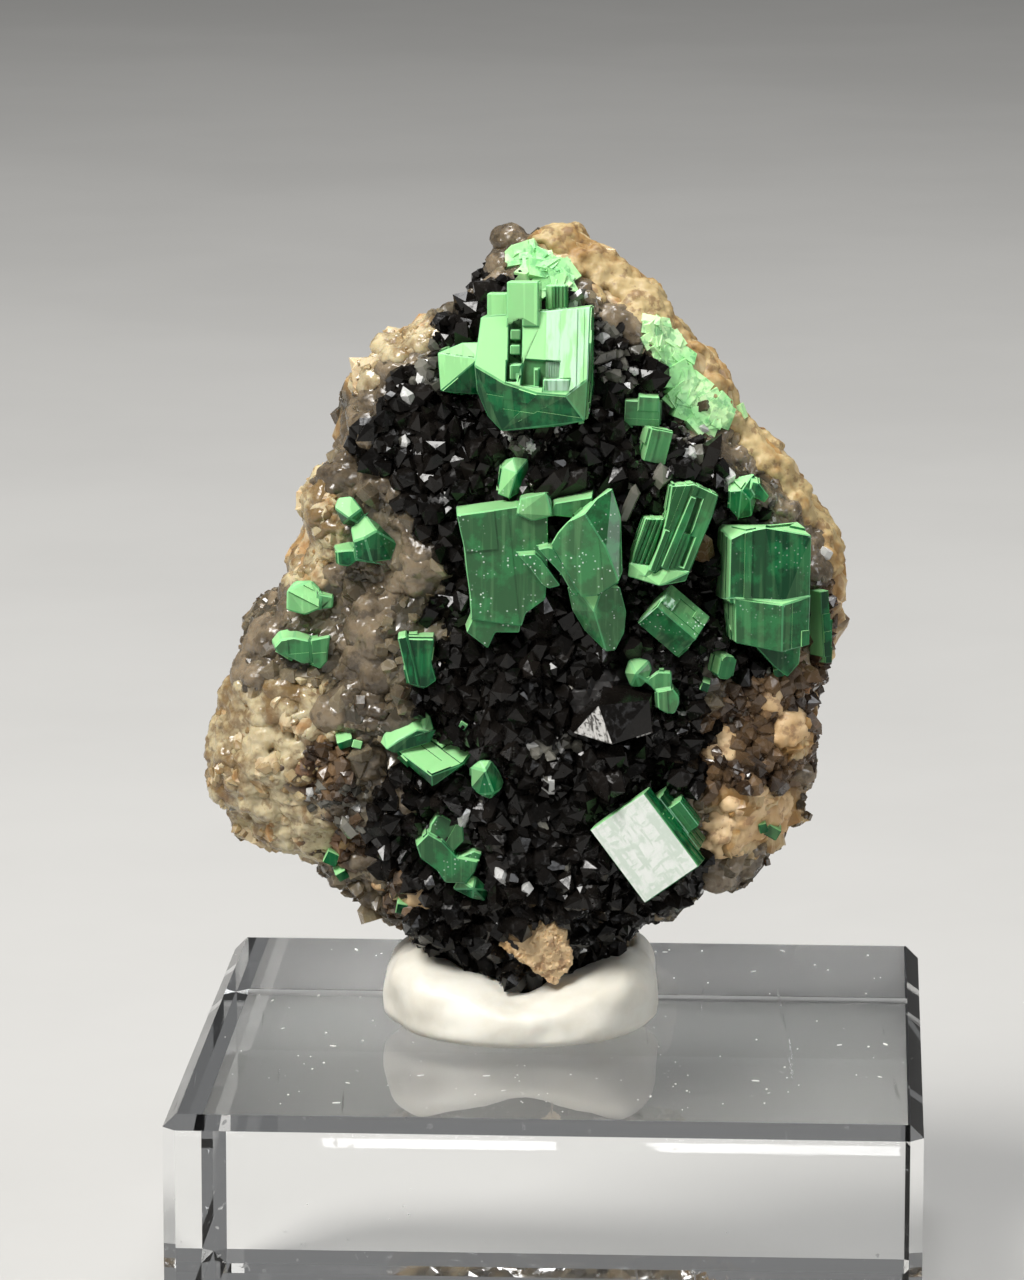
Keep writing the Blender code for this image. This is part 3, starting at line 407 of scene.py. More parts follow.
def puttyFinish():
    made, tree, shader = newFinish("whitePutty")
    tint = useGroup(tree, "mottledTint", {
        "Colour A": (0.80, 0.78, 0.70, 1), "Colour B": (0.70, 0.67, 0.58, 1), "Scale": 260.0, "Share": 0.4,
        "Softness": 0.4,
    })
    tree.links.new(tint["Colour"], shader.inputs["Base Color"])
    soft = put(tree, "TexNoise", {"Vector": put(tree, "TexCoord").outputs["Object"], "Scale": 900.0, "Detail": 4.0})
    tree.links.new(ramp(tree, soft.outputs["Fac"], 0.3, 0.7, 0.42, 0.6), shader.inputs["Roughness"])
    setSockets(shader, Subsurface_Weight=0.3, Subsurface_Radius=(1.0, 0.8, 0.6), Subsurface_Scale=0.6 * mm)
    bump(tree, shader, soft.outputs["Fac"], 0.2, 0.04)
    return made


def acrylicFinish():
    made, tree, shader = newFinish("clearAcrylic")
    place = put(tree, "TexCoord").outputs["Object"]
    stretched = put(tree, "Mapping", {"Vector": place, "Rotation": (0, 0, 0.6), "Scale": (1.0, 0.03, 1.0)})
    hair = put(tree, "TexNoise", {"Vector": stretched.outputs[0], "Scale": 2600.0, "Detail": 2.0})
    scratches = ramp(tree, hair.outputs["Fac"], 0.68, 0.74)
    wisps = put(tree, "TexNoise", {"Vector": place, "Scale": 220.0, "Detail": 5.0})
    haze = ramp(tree, wisps.outputs["Fac"], 0.45, 0.8, 0.0, 0.06)
    tree.links.new(doMath(tree, "ADD", haze, doMath(tree, "MULTIPLY", scratches, 0.25)), shader.inputs["Roughness"])
    setSockets(shader, Base_Color=(0.985, 0.99, 0.99, 1), IOR=1.49, Transmission_Weight=1.0)
    bump(tree, shader, scratches, 0.05, 0.005)
    return made


def plainFinish(name, colour, roughness):
    made, tree, shader = newFinish(name)
    tint = useGroup(tree, "mottledTint", {
        "Colour A": (*colour, 1), "Colour B": (*[c * 0.94 for c in colour], 1), "Scale": 14.0, "Share": 0.5,
        "Softness": 0.5,
    })
    tree.links.new(tint["Colour"], shader.inputs["Base Color"])
    setSockets(shader, Roughness=roughness)
    return made


finishes = {name: quartzFinish(name) for name in quartzLooks}
finishes["green"] = greenFinish()
finishes.update({name: streakedFinish(name) for name in streakedLooks})
finishes["rock"] = rockFinish()
finishes["ochre"] = crustFinish("ochreRind", (0.29, 0.165, 0.050), (0.43, 0.325, 0.155), (0.12, 0.055, 0.018), 0.5)
finishes["tan"] = crustFinish("tanFragment", (0.52, 0.33, 0.15), (0.66, 0.48, 0.27), (0.24, 0.12, 0.055), 0.45)
finishes["mintCrust"] = crustFinish("mintCrust", (0.30, 0.70, 0.27), (0.55, 0.84, 0.42), (0.08, 0.34, 0.12), 0.4)
finishes["smoky"] = crustFinish("smokyLump", (0.095, 0.074, 0.049), (0.205, 0.160, 0.105), (0.035, 0.026, 0.017), 0.14, 0.3)
finishes["creamLump"] = crustFinish("creamLump", (0.19, 0.125, 0.055), (0.53, 0.45, 0.28), (0.16, 0.09, 0.035), 0.16, 0.35)
finishes["putty"] = puttyFinish()
finishes["acrylic"] = acrylicFinish()
finishes["dust"] = plainFinish("paleDust", (0.85, 0.85, 0.82), 0.8)
finishes["floor"] = plainFinish("paleFloor", floorLook["colour"], 0.7)
print("finishes ready:", len(finishes))

# making objects


def makeObject(name, bm, finish, slot, smooth=False):
    # an object from a mesh in millimetres
    bmesh.ops.scale(bm, vec=(mm, mm, mm), verts=bm.verts)
    mesh = bpy.data.meshes.new(name)
    bm.to_mesh(mesh)
    bm.free()
    return linkMesh(name, mesh, finish, slot, smooth)


def linkMesh(name, mesh, finish, slot, smooth=False):
    mesh.materials.append(finish)
    mesh.polygons.foreach_set("use_smooth", np.full(len(mesh.polygons), smooth))
    obj = bpy.data.objects.new(name, mesh)
    bpy.context.scene.collection.objects.link(obj)
    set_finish(obj, slot)
    return obj


def bakeModifiers(obj):
    # the object keeps its modifiers' result as its own mesh
    graph = bpy.context.evaluated_depsgraph_get()
    graph.update()
    mesh = bpy.data.meshes.new_from_object(obj.evaluated_get(graph))
    obj.modifiers.clear()
    obj.data = mesh
    return obj


def addFloor():
    bm = bmesh.new()
    bmesh.ops.create_grid(bm, x_segments=2, y_segments=2, size=floorLook["side"] / 2)
    bmesh.ops.translate(bm, verts=bm.verts, vec=(0, 0, -floorLook["drop"]))
    floor = makeObject("floor", bm, finishes["floor"], "stone")
    del floor["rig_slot"]


addFloor()

# the rock's form

rock = {
    "middle": (0.1, 24.2), "front": 5.2, "back": 6.4, "leftLean": 0.16, "skin": 0.3,
    "halfSize": (11.3, 7.0, 13.6),
    "outline": [
        (1.5, 38.3), (3.3, 36.9), (4.9, 36.1), (5.7, 34.3), (7.6, 31.8), (9.2, 29.8), (11.2, 26.8), (11.0, 23.4),
        (10.2, 19.2), (9.3, 17.0), (7.7, 14.9), (5.5, 13.9), (3.7, 12.7), (-0.2, 10.7), (-2.6, 12.1), (-4.2, 12.9),
        (-5.6, 14.2), (-8.1, 16.0), (-9.7, 16.5), (-11.5, 18.2), (-11.3, 21.1), (-9.8, 24.2), (-8.6, 25.6),
        (-7.7, 27.4), (-7.5, 28.6), (-6.7, 31.2), (-5.9, 33.2), (-5.3, 34.4), (-2.4, 35.7), (-1.4, 37.1), (-0.6, 38.0),
    ],
    # lumps and hollows as x, y, z, radius, height
    "lumps": [
        (1.5, 0.6, 37.8, 1.0, 0.5), (3.0, 0.4, 36.7, 1.1, 0.6), (4.6, 0.0, 35.6, 1.2, 0.6), (5.6, -0.4, 34.0, 1.1, 0.6),
        (6.6, -0.8, 32.6, 1.0, 0.7), (7.6, -0.8, 31.2, 1.0, 0.6), (8.7, -0.8, 29.9, 1.1, 0.6),
        (9.8, -0.6, 28.4, 1.1, 0.6), (10.7, -0.4, 26.8, 1.0, 0.5), (9.4, -2.4, 21.6, 1.0, 0.5),
        (8.2, -3.0, 19.4, 1.3, 0.6), (7.2, -3.0, 17.6, 1.1, 0.5), (-6.6, -1.2, 28.6, 1.5, 0.7),
        (-7.6, -0.8, 25.6, 1.3, 0.7), (-4.0, -3.6, 24.4, 1.6, 0.6), (-8.6, -1.6, 23.0, 1.7, 0.5),
        (-9.6, -1.4, 19.9, 1.8, 0.5), (-3.6, -3.4, 14.9, 1.2, 0.5),
    ],
    "hollows": [
        (-2.6, -4.4, 26.2, 1.6, 0.5), (0.6, -5.0, 31.6, 1.8, 0.5), (-5.4, -3.2, 26.0, 1.0, 0.5),
        (1.4, -5.0, 20.8, 1.8, 0.4),
    ],
    # flats that the back broke along, with the share of the half size that is left
    "flats": [
        ((0.1, 1.0, 0.15), 0.86), ((0.6, 0.8, 0.2), 0.86), ((-0.6, 0.75, 0.3), 0.86), ((0.3, 0.8, -0.6), 0.84),
        ((-0.45, 0.8, -0.5), 0.84), ((0.35, 0.75, 0.65), 0.84), ((-0.2, 0.7, 0.8), 0.86), ((0.95, 0.5, -0.15), 0.92),
        ((-0.95, 0.5, -0.1), 0.9), ((-0.85, 0.5, 0.5), 0.9), ((0.8, 0.55, 0.6), 0.9),
    ],
    "roughFineness": 5, "fineness": 6, "frontShare": 0.30,
}

# where each kind of stone shows on the front, as x, z, half width, half height of a soft patch
zones = {
    "blackEdge": [
        (-4.6, 33.0), (-2.6, 34.8), (-1.2, 36.4), (1.2, 36.6), (3.4, 35.3), (5.0, 32.4), (6.4, 30.6), (8.2, 28.9),
        (9.8, 26.2), (9.6, 24.6), (6.3, 23.4), (6.2, 21.2), (5.4, 19.6), (6.2, 17.2), (5.8, 15.0), (2.8, 12.6),
        (-0.4, 11.2), (-3.4, 13.0), (-3.4, 15.4), (-5.0, 17.2), (-4.6, 19.6), (-3.4, 22.0), (-2.4, 24.6), (-2.8, 27.0),
        (-4.0, 29.6), (-5.6, 31.0),
    ],
    "cream": [
        (-9.6, 19.6, 2.4, 3.0), (-8.2, 17.2, 1.8, 1.5), (-7.6, 21.8, 1.3, 1.1), (-7.0, 28.4, 0.9, 1.6),
        (-7.7, 26.6, 1.0, 0.7), (-4.4, 34.6, 1.7, 0.7), (-5.6, 33.4, 0.7, 0.9),
    ],
    "rust": [
        (8.6, 21.2, 2.4, 2.6), (7.0, 20.6, 1.4, 1.8), (10.6, 24.0, 0.8, 2.4), (-3.6, 15.0, 1.3, 1.2),
        (-7.0, 19.6, 1.4, 1.0), (-6.6, 17.2, 1.2, 1.0),
    ],
    "ochre": [
        (8.0, 18.0, 1.9, 1.4), (9.4, 21.0, 0.8, 0.9), (-9.4, 18.4, 0.9, 0.9), (11.2, 25.6, 0.6, 1.4),
        (11.1, 23.4, 0.6, 1.4), (10.6, 21.2, 0.6, 1.4),
    ],
    "rindLine": [(1.2, 38.4), (3.2, 36.9), (5.0, 35.5), (6.35, 33.6), (8.1, 31.4), (9.9, 29.2), (11.1, 26.8)],
    "rindHeights": (28.0, 33.0), "rindWidths": (0.45, 0.95),
}


def rimReach(angles):
    # distance from the rock's middle to its outline, in each direction of the front view
    corners = np.array(rock["outline"]) - np.array(rock["middle"])
    rays = np.stack([np.cos(angles), np.sin(angles)], axis=1)
    best = np.zeros(len(angles))
    for start, end in zip(corners, np.roll(corners, -1, axis=0)):
        side = end - start
        cross = rays[:, 0] * side[1] - rays[:, 1] * side[0]
        cross = np.where(np.abs(cross) < 1e-9, 1e-9, cross)
        reach = (start[0] * side[1] - start[1] * side[0]) / cross
        along = (start[0] * rays[:, 1] - start[1] * rays[:, 0]) / cross
        hit = (reach > 0) & (along >= 0) & (along <= 1)
        best = np.where(hit & (reach > best), reach, best)
    return best


def rockPoints(directions):
    # where directions from a sphere land on the smooth form, with the back broken to its flats
    angle = np.arctan2(directions[:, 2], directions[:, 0])
    reach = rimReach(angle) * np.hypot(directions[:, 0], directions[:, 2]) ** 0.86
    x = rock["middle"][0] + reach * np.cos(angle)
    z = rock["middle"][1] + reach * np.sin(angle)
    swell = np.abs(directions[:, 1]) ** 0.72
    y = np.where(directions[:, 1] < 0, -rock["front"] * swell, rock["back"] * swell)
    y = y + 0.6 - rock["leftLean"] * np.minimum(x, 0)
    places = np.stack([x, y, z], axis=1)
    middle = np.array((rock["middle"][0], 0.5, rock["middle"][1]))
    behind = np.clip((y - 0.6) / 1.6, 0, 1)
    for direction, share in rock["flats"]:
        outward = np.array(direction) / np.linalg.norm(direction)
        beyond = (places - middle) @ outward - np.linalg.norm(outward * rock["halfSize"]) * share
        places = places - outward * (np.maximum(beyond, 0) * 0.9 * behind)[:, None]
    return places


def rockRelief(places):
    heights = np.array([
        0.55 * noise.noise(Vector(p) * 0.33 + Vector((3.1, 0, 7.7)))
        + 0.42 * noise.noise(Vector(p) * 0.85 + Vector((0, 5.2, 1.3))) for p in places
    ]) - rock["skin"]
    for sign, rows in ((1, rock["lumps"]), (-1, rock["hollows"])):
        for x, y, z, radius, rise in rows:
            apart = np.linalg.norm(places - np.array((x, y, z)), axis=1)
            heights += sign * rise * np.exp(-((apart / radius) ** 2))
    return heights


def readPlaces(mesh, kind="co"):
    values = np.empty(len(mesh.vertices) * 3, np.float32)
    mesh.vertices.foreach_get(kind, values)
    return values.reshape(-1, 3).astype(float)


def rockMesh(fineness, extraFront=False):
    bm = bmesh.new()
    bmesh.ops.create_icosphere(bm, subdivisions=fineness, radius=1)
    if extraFront:
        near = [f for f in bm.faces if f.calc_center_median().y < -rock["frontShare"] + 0.05]
        edges = list({e for f in near for e in f.edges})
        bmesh.ops.subdivide_edges(bm, edges=edges, cuts=1, use_grid_fill=True)
        bmesh.ops.triangulate(bm, faces=bm.faces)
    mesh = bpy.data.meshes.new("rockForm")
    bm.to_mesh(mesh)
    bm.free()
    directions = readPlaces(mesh)
    directions /= np.linalg.norm(directions, axis=1)[:, None]
    mesh.vertices.foreach_set("co", rockPoints(directions).ravel())
    mesh.update()
    return mesh


def pushOut(mesh, heights):
    places = readPlaces(mesh) + readPlaces(mesh, "normal") * heights[:, None]
    mesh.vertices.foreach_set("co", places.ravel())
    mesh.update()


def treeOf(mesh):
    return BVHTree.FromPolygons([v.co.copy() for v in mesh.vertices], [p.vertices[:] for p in mesh.polygons])


roughRock = rockMesh(rock["roughFineness"])
pushOut(roughRock, rockRelief(readPlaces(roughRock)))
roughTree = treeOf(roughRock)
print("rough rock form:", len(roughRock.vertices), "points")


def seat(x, z):
    # the rock's surface as seen from the front
    place, normal, _, _ = roughTree.ray_cast(Vector((x, -30, z)), Vector((0, 1, 0)))
    return place, normal


def softStep(values, low, high):
    t = np.clip((values - low) / (high - low), 0, 1)
    return t * t * (3 - 2 * t)


def insideDistance(x, z, corners):
    # distance to a closed outline in the front view, positive inside
    best = np.full(len(x), 1e9)
    inside = np.zeros(len(x), bool)
    corners = np.array(corners)
    for a, b in zip(corners, np.roll(corners, -1, axis=0)):
        side = b - a
        t = np.clip(((x - a[0]) * side[0] + (z - a[1]) * side[1]) / (side @ side), 0, 1)
        best = np.minimum(best, np.hypot(x - a[0] - t * side[0], z - a[1] - t * side[1]))
        crosses = (a[1] > z) != (b[1] > z)
        turn = a[0] + (z - a[1]) * side[0] / (side[1] if abs(side[1]) > 1e-9 else 1e-9)
        inside ^= crosses & (x < turn)
    return np.where(inside, best, -best)


def rindWidth(z):
    return np.interp(z, zones["rindHeights"], zones["rindWidths"])


def zoneWeights(places):
    # how far each kind of stone shows at these places
    wobble = np.array([noise.noise(Vector(p) * 0.7 + Vector((9, 2, 4))) for p in places])
    ripple = np.array([noise.noise(Vector(p) * 1.9 + Vector((1, 8, 5))) for p in places])
    x, y, z = places.T
    shift = 0.9 * wobble + 0.5 * ripple
    front = softStep(-y, -2.4, -0.8)
    found = {"black": softStep(insideDistance(x, z, zones["blackEdge"]) + shift, -0.7, 0.5) * front}
    for name in ("cream", "rust", "ochre"):
        found[name] = np.zeros(len(x))
        for px, pz, wide, tall in zones[name]:
            far = np.hypot((x - px) / wide, (z - pz) / tall) - 0.35 * shift
            found[name] = np.maximum(found[name], softStep(-far, -1.25, -0.7) * softStep(-y, -4.0, -1.5))
    line = np.array(zones["rindLine"])
    apart = np.full(len(x), 1e9)
    for a, b in zip(line, line[1:]):
        side = b - a
        t = np.clip(((x - a[0]) * side[0] + (z - a[1]) * side[1]) / (side @ side), 0, 1)
        apart = np.minimum(apart, np.hypot(x - a[0] - t * side[0], z - a[1] - t * side[1]))
    rind = softStep(rindWidth(z) - apart + 0.35 * shift, -0.35, 0.35)
    behind = softStep(y, 1.0, 2.5)
    stained = softStep(wobble * 1.6 + ripple * 0.5 + 0.3 * (z - 24) / 14, 0.1, 0.5) * behind
    found["rind"] = rind
    found["ochre"] = np.maximum.reduce([found["ochre"], rind, 0.9 * stained])
    found["black"] = found["black"] * (1 - rind)
    found["cream"] = np.maximum(found["cream"], 0.7 * behind * softStep(-wobble, 0.12, 0.4))
    return found


# broken grains of the rock's surface: each grain is a small tilted flat
grains = {"seed": 21, "spacing": {"fine": 0.55, "coarse": 1.15}, "tilt": 0.42, "step": 0.16}


def brokenGrains(places, spacing, seed):
    draw = np.random.default_rng(seed)
    count = int(900 / spacing**2)
    chosen = places[draw.integers(0, len(places), count)] + draw.normal(0, spacing * 0.2, (count, 3))
    tree = KDTree(count)
    for index, place in enumerate(chosen):
        tree.insert(place, index)
    tree.balance()
    owner = np.array([tree.find(p)[1] for p in places])
    slopes = draw.normal(0, grains["tilt"], (count, 3))
    rises = draw.uniform(-1, 1, count) * grains["step"] * spacing
    return ((places - chosen[owner]) * slopes[owner]).sum(axis=1) + rises[owner]


def setMask(mesh, name, values, domain="POINT"):
    layer = mesh.attributes.new(name, "FLOAT", domain)
    layer.data.foreach_set("value", np.asarray(values, np.float32))


rockZones = {}


def buildRock():
    mesh = rockMesh(rock["fineness"], True)
    pushOut(mesh, rockRelief(readPlaces(mesh)))
    places = readPlaces(mesh)
    found = zoneWeights(places)
    fine = brokenGrains(places, grains["spacing"]["fine"], grains["seed"])
    coarse = brokenGrains(places, grains["spacing"]["coarse"], grains["seed"] + 1)
    ripple = np.array([noise.fractal(Vector(p) * 2.2, 0.9, 2.0, 4) for p in places])
    covered = np.maximum.reduce([found["black"], found["cream"], found["rust"], found["ochre"]])
    glassy = 1 - covered
    heights = (0.6 * coarse + 0.45 * fine) * (1 - found["rind"]) * (1 - 0.62 * glassy) + 0.05 * ripple
    heights += (found["rind"] + 0.6 * glassy) * 0.10 * ripple - found["black"] * 0.12
    pushOut(mesh, heights)
    found["glassy"] = glassy
    rockZones.update(found)
    for name in ("black", "cream", "rust", "ochre", "glassy"):
        setMask(mesh, name, found[name])
    mesh.transform(Matrix.Scale(mm, 4))
    body = linkMesh("quartz_rock", mesh, finishes["rock"], "matrix")
    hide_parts("quartz_matrix")
    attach(body, "root")
    return body, places


rockBody, rockPlaces = buildRock()
print("rock:", len(rockBody.data.polygons), "faces")

# green crystals: where each stands and how it is turned, and what is worked on its faces
# steps: facing, across, count, rise, least area, and the stretch along across that is worked
# paint patches and lift make parts of a crystal paler as if lit: painted light
crystals = [
    {"name": "torbernite_crown", "at": (0.4, 34.4), "proud": 0.9, "turn": -4, "tilt": -6, "bevel": 0.035,
     "parts": [((0.34, 0.8, 0.34), (-0.62, -0.27, 0.82)), ((0.34, 0.8, 0.32), (-0.62, -0.46, 0.32)),
               ((0.36, 0.8, 0.5), (-0.6, -0.72, -0.42)), ((0.16, 0.5, 0.62), (0.12, -0.98, -0.62)),
               ((0.9, 0.6, 0.42), (0.8, -1.02, -0.86))],
     "steps": [((0, -1, 0.4), (1, 0, 0), 9, 0.07, 0.4, (0.42, 1.9)), ((1, 0, 0), (0, 1, 0), 4, 0.05, 0.6, None),
               ((0, -0.8, -0.5), (0.15, 0, 1), 3, 0.03, 0.5, None)],
     "paint": [((-1.8, 0.6), (1.3, 2.8), 0.62), ((-0.9, 0.5), (0.0, 1.6), 0.2), ((1.1, 1.9), (-2.0, -0.6), 0.25)],
     "white": [((0.42, 1.85), (-1.0, 1.9), 0.6)]},
    {"name": "torbernite_crown_flank", "at": (-2.15, 33.5), "proud": 0.35, "bevel": 0.03,
     "steps": [((-0.5, -0.6, 0.6), (1, 0, 0), 6, 0.04, 0.3, None)]},
    {"name": "torbernite_splinter", "at": (-0.3, 30.4), "proud": 0.35, "bevel": 0.03, "specks": 0.3},
    {"name": "torbernite_heart", "at": (-0.7, 27.3), "proud": 0.45, "bevel": 0.035, "specks": 0.75, "lift": 0.08,
     "steps": [((0, -1, 0), (1, 0, 0.1), 2, 0.035, 2.5, None),
               ((-0.8, -0.4, 0.5), (0.5, 0, 0.8), 3, 0.05, 0.6, None)]},
    {"name": "torbernite_laths", "at": (4.95, 28.25), "proud": 0.8, "roll": 21, "tilt": -7, "bevel": 0.03, "lift": 0.02, "paint": [((-1.2, 1.2), (-1.8, -1.2), 0.3)],
     "steps": [((0, -1, 0), (1, 0, 0), 8, 0.10, 0.5, None), ((0, 0, 1), (1, 0, 0), 3, 0.03, 0.2, None),
               ((1, 0, 0), (0, 1, 0), 4, 0.05, 0.6, None), ((-1, 0, 0), (0, 1, 0), 4, 0.05, 0.6, None)]},
    {"name": "torbernite_striated", "at": (5.12, 25.45), "proud": 0.75, "roll": 41, "bevel": 0.03, "specks": 0.9, "white": [((-1.0, -0.6), (-0.7, 0.7), 0.8)],
     "steps": [((0, -0.7, 0.7), (0, 0.7, 0.7), 3, 0.03, 0.5, None)]},
    {"name": "torbernite_tower", "at": (8.2, 27.1), "proud": 0.9, "turn": 12, "roll": 1, "bevel": 0.04, "specks": 0.25,
     "steps": [((-1, 0, 0), (0, 1, 0), 4, 0.05, 0.6, None), ((-0.1, -1, 0), (1, 0, 0), 2, 0.03, 1.5, None)]},
    {"name": "torbernite_rim_wedge", "at": (7.45, 29.4), "proud": 0.3, "bevel": 0.03, "specks": 0.3},
    {"name": "torbernite_plaque_upper", "at": (4.05, 32.35), "proud": 0.15, "roll": 3, "bevel": 0.025, "lift": 0.12},
    {"name": "torbernite_plaque_lower", "at": (4.5, 31.3), "proud": 0.1, "turn": 15, "roll": 14, "bevel": 0.025, "lift": 0.15},
    {"name": "torbernite_bead", "at": (6.8, 23.75), "proud": 0.3, "turn": 25, "roll": 12, "bevel": 0.025},
    {"name": "torbernite_bud", "at": (4.1, 23.25), "proud": 0.15, "bevel": 0.05, "lift": 0.12},
    {"name": "torbernite_mirror", "at": (4.25, 17.6), "proud": 1.0, "roll": -37, "bevel": 0.03, "paintedReflection": 4.0,
     "steps": [((1, 0, 0), (0, 1, 0), 4, 0.06, 0.4, None), ((1, -0.2, 0), (0, 0, 1), 2, 0.08, 0.4, None)]},
    {"name": "torbernite_knob_cluster", "at": (-5.3, 28.1), "proud": 0.25, "bevel": 0.05, "specks": 0.3},
    {"name": "torbernite_knob_cap", "at": (-7.4, 25.95), "proud": 0.25, "bevel": 0.06, "lift": 0.2},
    {"name": "torbernite_shoulder", "at": (-7.65, 24.0), "proud": 0.2, "bevel": 0.05, "lift": 0.1},
    {"name": "torbernite_rolled", "at": (-3.6, 23.9), "proud": 0.25, "bevel": 0.04,
     "steps": [((0, -1, 0), (1, 0, 0), 4, 0.08, 0.3, None)]},
    {"name": "torbernite_blades", "at": (-3.4, 20.6), "proud": 0.55, "bevel": 0.03},
    {"name": "torbernite_pellet", "at": (-1.2, 19.7), "proud": 0.35, "bevel": 0.05, "specks": 0.3},
    {"name": "torbernite_foot_cluster", "at": (-2.5, 16.75), "proud": 0.35, "bevel": 0.04, "specks": 0.4},
    {"name": "torbernite_rim_blades", "at": (10.1, 24.9), "proud": 0.1, "turn": 35, "roll": -3, "bevel": 0.02},
]
# faces turned towards the key light are painted paler, ramped from low to high: painted light
lightFacingRule = {"towards": (-0.5, -0.3, 0.81), "low": 0.34, "high": 0.66}
terraces = {"tries": 5, "rise": (0.03, 0.09), "least": 0.35}


def standing(spec):
    # how a crystal is turned: about its own upright axis, then back or forward, then in the picture plane
    across = Matrix.Rotation(math.radians(spec.get("roll", 0)), 4, "Y")
    lean = Matrix.Rotation(math.radians(spec.get("tilt", 0)), 4, "X")
    return across @ lean @ Matrix.Rotation(math.radians(spec.get("turn", 0)), 4, "Z")


def crystalPlace(spec):
    x, z = spec["at"]
    place, _ = seat(x, z)
    return Matrix.Translation((x, place.y - spec["proud"], z)) @ standing(spec)


def cleanUp(bm):
    bmesh.ops.remove_doubles(bm, verts=bm.verts, dist=0.004)
    bmesh.ops.dissolve_limit(bm, angle_limit=math.radians(2), verts=bm.verts, edges=bm.edges)
    bm.normal_update()


def splitStrips(bm, face, across, cuts):
    strips = [face]
    for cut in cuts:
        geometry = set(strips)
        for strip in strips:
            geometry.update(strip.edges)
            geometry.update(strip.verts)
        made = bmesh.ops.bisect_plane(bm, geom=list(geometry), plane_co=across * cut, plane_no=across, dist=0.002)
        strips = [g for g in made["geom"] if isinstance(g, bmesh.types.BMFace)]
    return strips


def raiseFace(bm, face, rise):
    normal = face.normal.copy()
    made = bmesh.ops.extrude_discrete_faces(bm, faces=[face])["faces"]
    bmesh.ops.translate(bm, verts=made[0].verts, vec=normal * rise)


def cutSteps(bm, rule, draw):
    # strips of a face stand at different heights, every other one left where it was
    facing, across, count, rise, least, stretch = rule
    facing = Vector(facing).normalized()
    for face in [f for f in bm.faces if f.normal.dot(facing) > 0.86 and f.calc_area() > least]:
        along = Vector(across) - face.normal * Vector(across).dot(face.normal)
        along.normalize()
        reach = [v.co.dot(along) for v in face.verts]
        low, high = stretch or (min(reach), max(reach))
        low, high = max(low, min(reach)), min(high, max(reach))
        if high - low < 0.15:
            continue
        gap = (high - low) / (count + 1)
        cuts = [low + gap * (k + 1) + draw.uniform(-0.32, 0.32) * gap for k in range(count)]
        if stretch:
            cuts[0] = low
        strips = splitStrips(bm, face, along, cuts)
        strips.sort(key=lambda f: f.calc_center_median().dot(along))
        for strip in strips[1::2]:
            raiseFace(bm, strip, draw.uniform(0.35, 1.0) * rise)
        bm.normal_update()


def growTerraces(bm, draw):
    # a corner or a side of a larger face stands a little higher
    for _ in range(terraces["tries"]):
        large = [f for f in bm.faces if f.calc_area() > terraces["least"] and f.normal.y < 0.35]
        if not large:
            return
        # sorted by place, so that each run works the same faces
        large.sort(key=lambda f: [round(part, 2) for part in f.calc_center_median()])
        face = draw.choice(large)
        edge = max(face.edges, key=lambda e: e.calc_length())
        along = (edge.verts[1].co - edge.verts[0].co).normalized()
        if draw.random() < 0.4:
            along = along.cross(face.normal).normalized()
        reach = [v.co.dot(along) for v in face.verts]
        cut = min(reach) + (max(reach) - min(reach)) * draw.uniform(0.2, 0.8)
        strips = splitStrips(bm, face, along, [cut])
        smaller = min(strips, key=lambda f: f.calc_area())
        raiseFace(bm, smaller, draw.uniform(*terraces["rise"]))
        bm.normal_update()


def unionInto(obj, parts):
    # the extra ledges become part of the crystal
    group = bpy.data.collections.new(obj.name + "Ledges")
    bpy.context.scene.collection.children.link(group)
    helpers = []
    for size, offset in parts:
        bm = bmesh.new()
        bmesh.ops.create_cube(bm, size=1)
        bmesh.ops.scale(bm, vec=size, verts=bm.verts)
        bmesh.ops.translate(bm, vec=offset, verts=bm.verts)
        mesh = bpy.data.meshes.new("ledge")
        bm.to_mesh(mesh)
        bm.free()
        helper = bpy.data.objects.new("ledge", mesh)
        group.objects.link(helper)
        helpers.append(helper)
    joined = obj.modifiers.new("ledges", "BOOLEAN")
    joined.operation = "UNION"
    joined.solver = "EXACT"
    joined.operand_type = "COLLECTION"
    joined.collection = group
    bakeModifiers(obj)
    for helper in helpers:
        bpy.data.objects.remove(helper)
    bpy.data.collections.remove(group)


